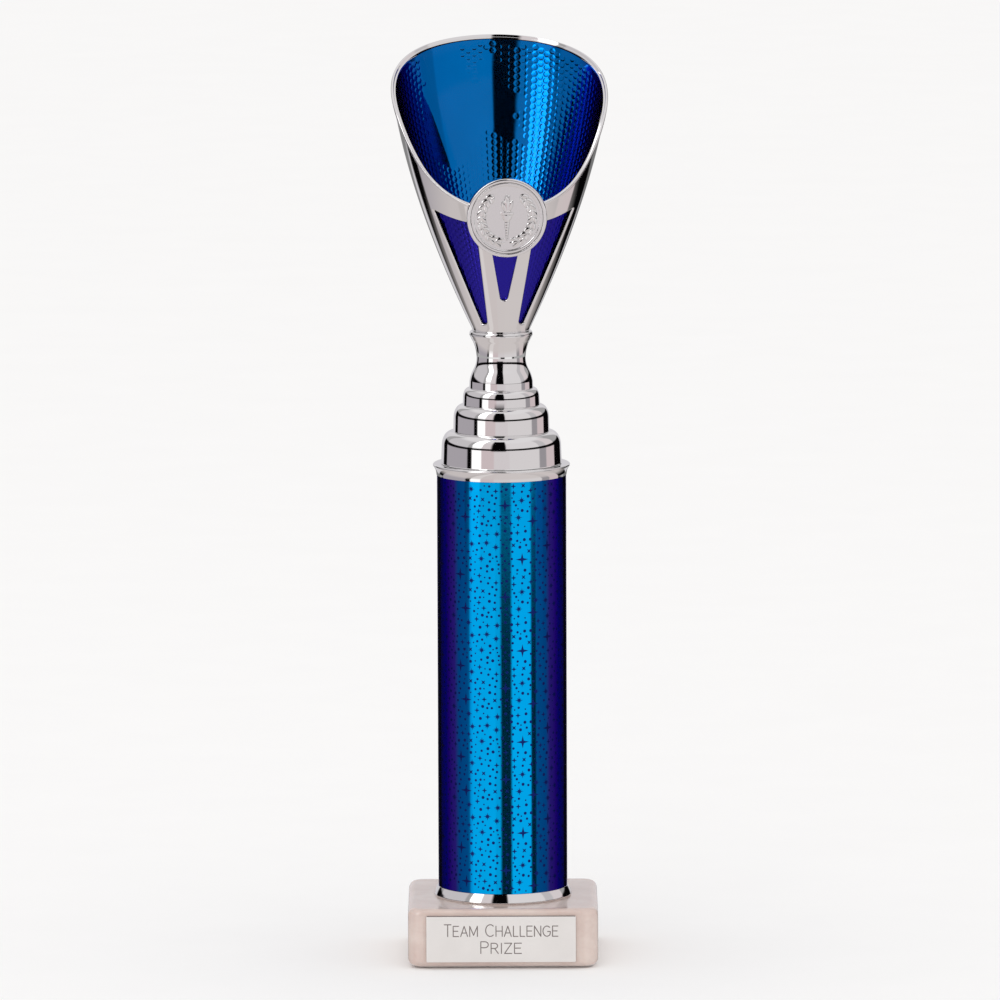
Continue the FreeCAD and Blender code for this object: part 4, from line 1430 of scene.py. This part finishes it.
def centre_disc():
    """The struck disc as a fine height field over rings, with a raised rim and a plain back."""
    around = 384
    radii = np.concatenate([np.linspace(0.12, 11.15, 96), np.linspace(11.22, DISC_RADIUS, 16)])
    turn = np.arange(around) * 2 * math.pi / around
    x = radii[:, None] * np.cos(turn)[None, :]
    y = radii[:, None] * np.sin(turn)[None, :]
    r = np.hypot(x, y)
    height = DISC_FIELD + disc_relief(x, y) * (1 - smooth_band(r, 10.9, 11.15))
    height += (DISC_FACE - DISC_FIELD) * smooth_band(r, 11.25, 11.5)
    height += 0.05 * np.sqrt(np.clip(1 - ((r - 11.95) / 0.5) ** 2, 0, 1))
    height -= 0.25 * smooth_band(r, 12.25, DISC_RADIUS) ** 2
    points = [(0.0, 0.0, DISC_FIELD + float(disc_relief(np.zeros(1), np.zeros(1))[0]))]
    rows = []
    for i in range(len(radii)):
        rows.append(list(range(len(points), len(points) + around)))
        points += [(float(x[i, j]), float(y[i, j]), float(height[i, j])) for j in range(around)]
    for radius, level in ((DISC_RADIUS, DISC_BASE + 0.15), (DISC_RADIUS - 0.15, DISC_BASE)):
        rows.append(list(range(len(points), len(points) + around)))
        points += [(radius * math.cos(a), radius * math.sin(a), level) for a in turn]
    faces = [[0, rows[0][j], rows[0][(j + 1) % around]] for j in range(around)]
    faces += [[low, high, high_next, low_next] for low, low_next, high_next, high in quads(rows)]
    faces.append(rows[-1][::-1])
    disc = made("disc_struck", by_matrix(points, HOLDER_PLACE), faces, [SATIN_SILVER])
    disc.data.set_sharp_from_angle(angle=math.radians(50))
    return disc


placed(centre_disc(), "centre_metal", "centre_disc", turned=True)


# ---- Studio ----------------------------------------------------------------------------------
def floor():
    look = Look("floor_pale")
    speckle = look.noise(40.0, detail=2.0)
    look.shader(
        Base_Color=look.ramp(speckle, [(0.0, (0.93, 0.93, 0.93)), (1.0, (0.95, 0.95, 0.95))]),
        Roughness=1.0, Specular_IOR_Level=0.0,
    )
    size = 14000.0
    piece = made("studio_floor", [(-size, -size, 0), (size, -size, 0), (size, size, 0), (-size, size, 0)],
                 [[0, 1, 2, 3]], [look.material])
    piece.visible_glossy = False


def linear(*srgb):
    return tuple(((c / 255 + 0.055) / 1.055) ** 2.4 if c > 10 else c / 255 / 12.92 for c in srgb)


def soft_bands(bands, blend=1.2):
    """Ramp stops for bands of (first degree, last degree, colour) round the full circle."""
    stops = []
    for first, last, colour in bands:
        stops.append(((first + 180 + blend / 2) / 360, colour))
        stops.append(((last + 180 - blend / 2) / 360, colour))
    return stops


def studio_world():
    """Soft white panels and dark gaps for polished surfaces to reflect, even light for the rest."""
    world = bpy.data.worlds.new("studio")
    bpy.context.scene.world = world
    world.use_nodes = True
    look = Look.__new__(Look)
    look.tree = world.node_tree
    background = look.tree.nodes["Background"]
    place = look.add("ShaderNodeTexCoord").outputs["Generated"]
    parts = look.add("ShaderNodeSeparateXYZ")
    look.set(parts.inputs[0], place)
    x, y, z = parts.outputs
    bearing = look.math("ARCTAN2", x, look.math("MULTIPLY", y, -1.0))
    bearing = look.math("MULTIPLY_ADD", bearing, 1 / (2 * math.pi), 0.5)
    white = linear(235, 233, 234)
    black = linear(6, 5, 6)
    light = linear(226, 222, 223)
    pink = linear(215, 200, 202)
    grey = linear(176, 171, 177)
    bright = (1.3, 1.29, 1.29)
    panels = look.ramp(bearing, soft_bands([
        (-180, -148, linear(214, 212, 216)), (-146, -130, black), (-129, -70, grey), (-69, -60, black),
        (-59, -40, bright), (-39, -15, pink), (-14, 15, linear(222, 216, 218)), (16, 78, light),
        (79, 96, linear(160, 156, 160)), (97, 122, pink), (123, 156, black),
        (158, 180, linear(214, 212, 216)),
    ]))
    # What upright walls see, a few degrees below the horizon: two wide panels with dark stripes between.
    low_panels = look.ramp(bearing, soft_bands([
        (-180, -143, (0.25,) * 3), (-142, -61, (0.45,) * 3), (-60, -13, (0.92,) * 3),
        (-11, -4, (0.80,) * 3), (-1, 15, (0.01,) * 3), (18, 52, (0.95,) * 3), (54, 62, (0.02,) * 3),
        (64, 143, (0.45,) * 3), (145, 180, (0.20,) * 3),
    ]))
    height = look.math("DIVIDE", look.math("ARCSINE", z), math.pi / 2)
    level = look.math("MULTIPLY_ADD", height, 0.5, 0.5)

    def degrees(value):
        return value / 180 + 0.5

    def window(factor, place, *angles):
        """One between the middle two angles, fading to none at the outer two."""
        low, first, last, high = map(place, angles)
        return look.ramp(factor, [(low, none), (first, one), (last, one), (high, none)])

    def round_by(value):
        return (value + 180) / 360

    one, none = (1, 1, 1), (0, 0, 0)
    below = look.ramp(level, [(degrees(-34), one), (degrees(-20), none)])
    wall_view = window(level, degrees, -14, -12.5, -7.8, -7.6)
    gap = window(level, degrees, 1, 2.5, 9, 10.5)
    gap_width = window(bearing, round_by, -132, -129, 129, 132)
    mid = look.ramp(level, [(degrees(9.5), none), (degrees(12), one)])
    above = look.ramp(level, [(degrees(40), none), (degrees(52), one)])
    camera_height = window(level, degrees, -2, 1, 58, 62)
    camera_width = window(bearing, round_by, -22, -18, 8, 10)
    colour = look.mix(look.math("MULTIPLY", mid, 0.5), panels, white)
    colour = look.mix(look.math("MULTIPLY", below, 0.85), colour, linear(216, 209, 207))
    colour = look.mix(wall_view, colour, low_panels)
    colour = look.mix(look.math("MULTIPLY", gap, gap_width), colour, black)
    colour = look.mix(above, colour, white)
    lamp_height = window(level, degrees, 16, 22, 62, 70)
    lamp_width = window(bearing, round_by, -61, -58, -42, -39)
    colour = look.mix(look.math("MULTIPLY", lamp_height, lamp_width), colour, (3.2, 3.2, 3.2))
    colour = look.mix(look.math("MULTIPLY", camera_height, camera_width), colour, black)
    path = look.add("ShaderNodeLightPath").outputs
    colour = look.mix(path["Is Diffuse Ray"], colour, (1.0, 0.99, 0.985))
    colour = look.mix(path["Is Camera Ray"], colour, (1.0, 1.0, 1.0))
    look.set(background.inputs["Color"], colour)
    background.inputs["Strength"].default_value = 1.0
    world.cycles.sampling_method = "NONE"


def key_light():
    """A broad soft light from the front, seen only by surfaces that scatter light."""
    lamp = bpy.data.lights.new("front_softbox", "AREA")
    lamp.shape = "RECTANGLE"
    lamp.size, lamp.size_y = 1.6, 1.2
    lamp.energy = 6.0
    holder = bpy.data.objects.new("front_softbox", lamp)
    holder.location = (-0.6, -2.4, 1.0)
    holder.rotation_euler = (Vector((0, 0, 0.1)) - holder.location).to_track_quat("-Z", "Y").to_euler()
    holder.visible_glossy = False
    holder.visible_camera = False
    bpy.context.scene.collection.objects.link(holder)


def camera():
    lens = bpy.data.cameras.new("camera")
    lens.sensor_width = 36.0
    lens.lens = 417.6
    lens.shift_x, lens.shift_y = -0.0016, -0.0005
    lens.clip_end = 100.0
    eye = bpy.data.objects.new("camera", lens)
    place = Vector((0.0, -4.0, 0.705))
    forward = (Vector((0, 0, 0.160)) - place).normalized()
    right = Vector((1, 0, 0))
    up = right.cross(forward)
    roll = math.radians(-0.2)
    right, up = right * math.cos(roll) + up * math.sin(roll), up * math.cos(roll) - right * math.sin(roll)
    turn = Matrix((right, up, -forward)).transposed().to_4x4()
    eye.matrix_world = Matrix.Translation(place) @ turn
    bpy.context.scene.collection.objects.link(eye)
    bpy.context.scene.camera = eye


floor()
studio_world()
key_light()
camera()
bpy.context.scene.view_settings.view_transform = "Standard"
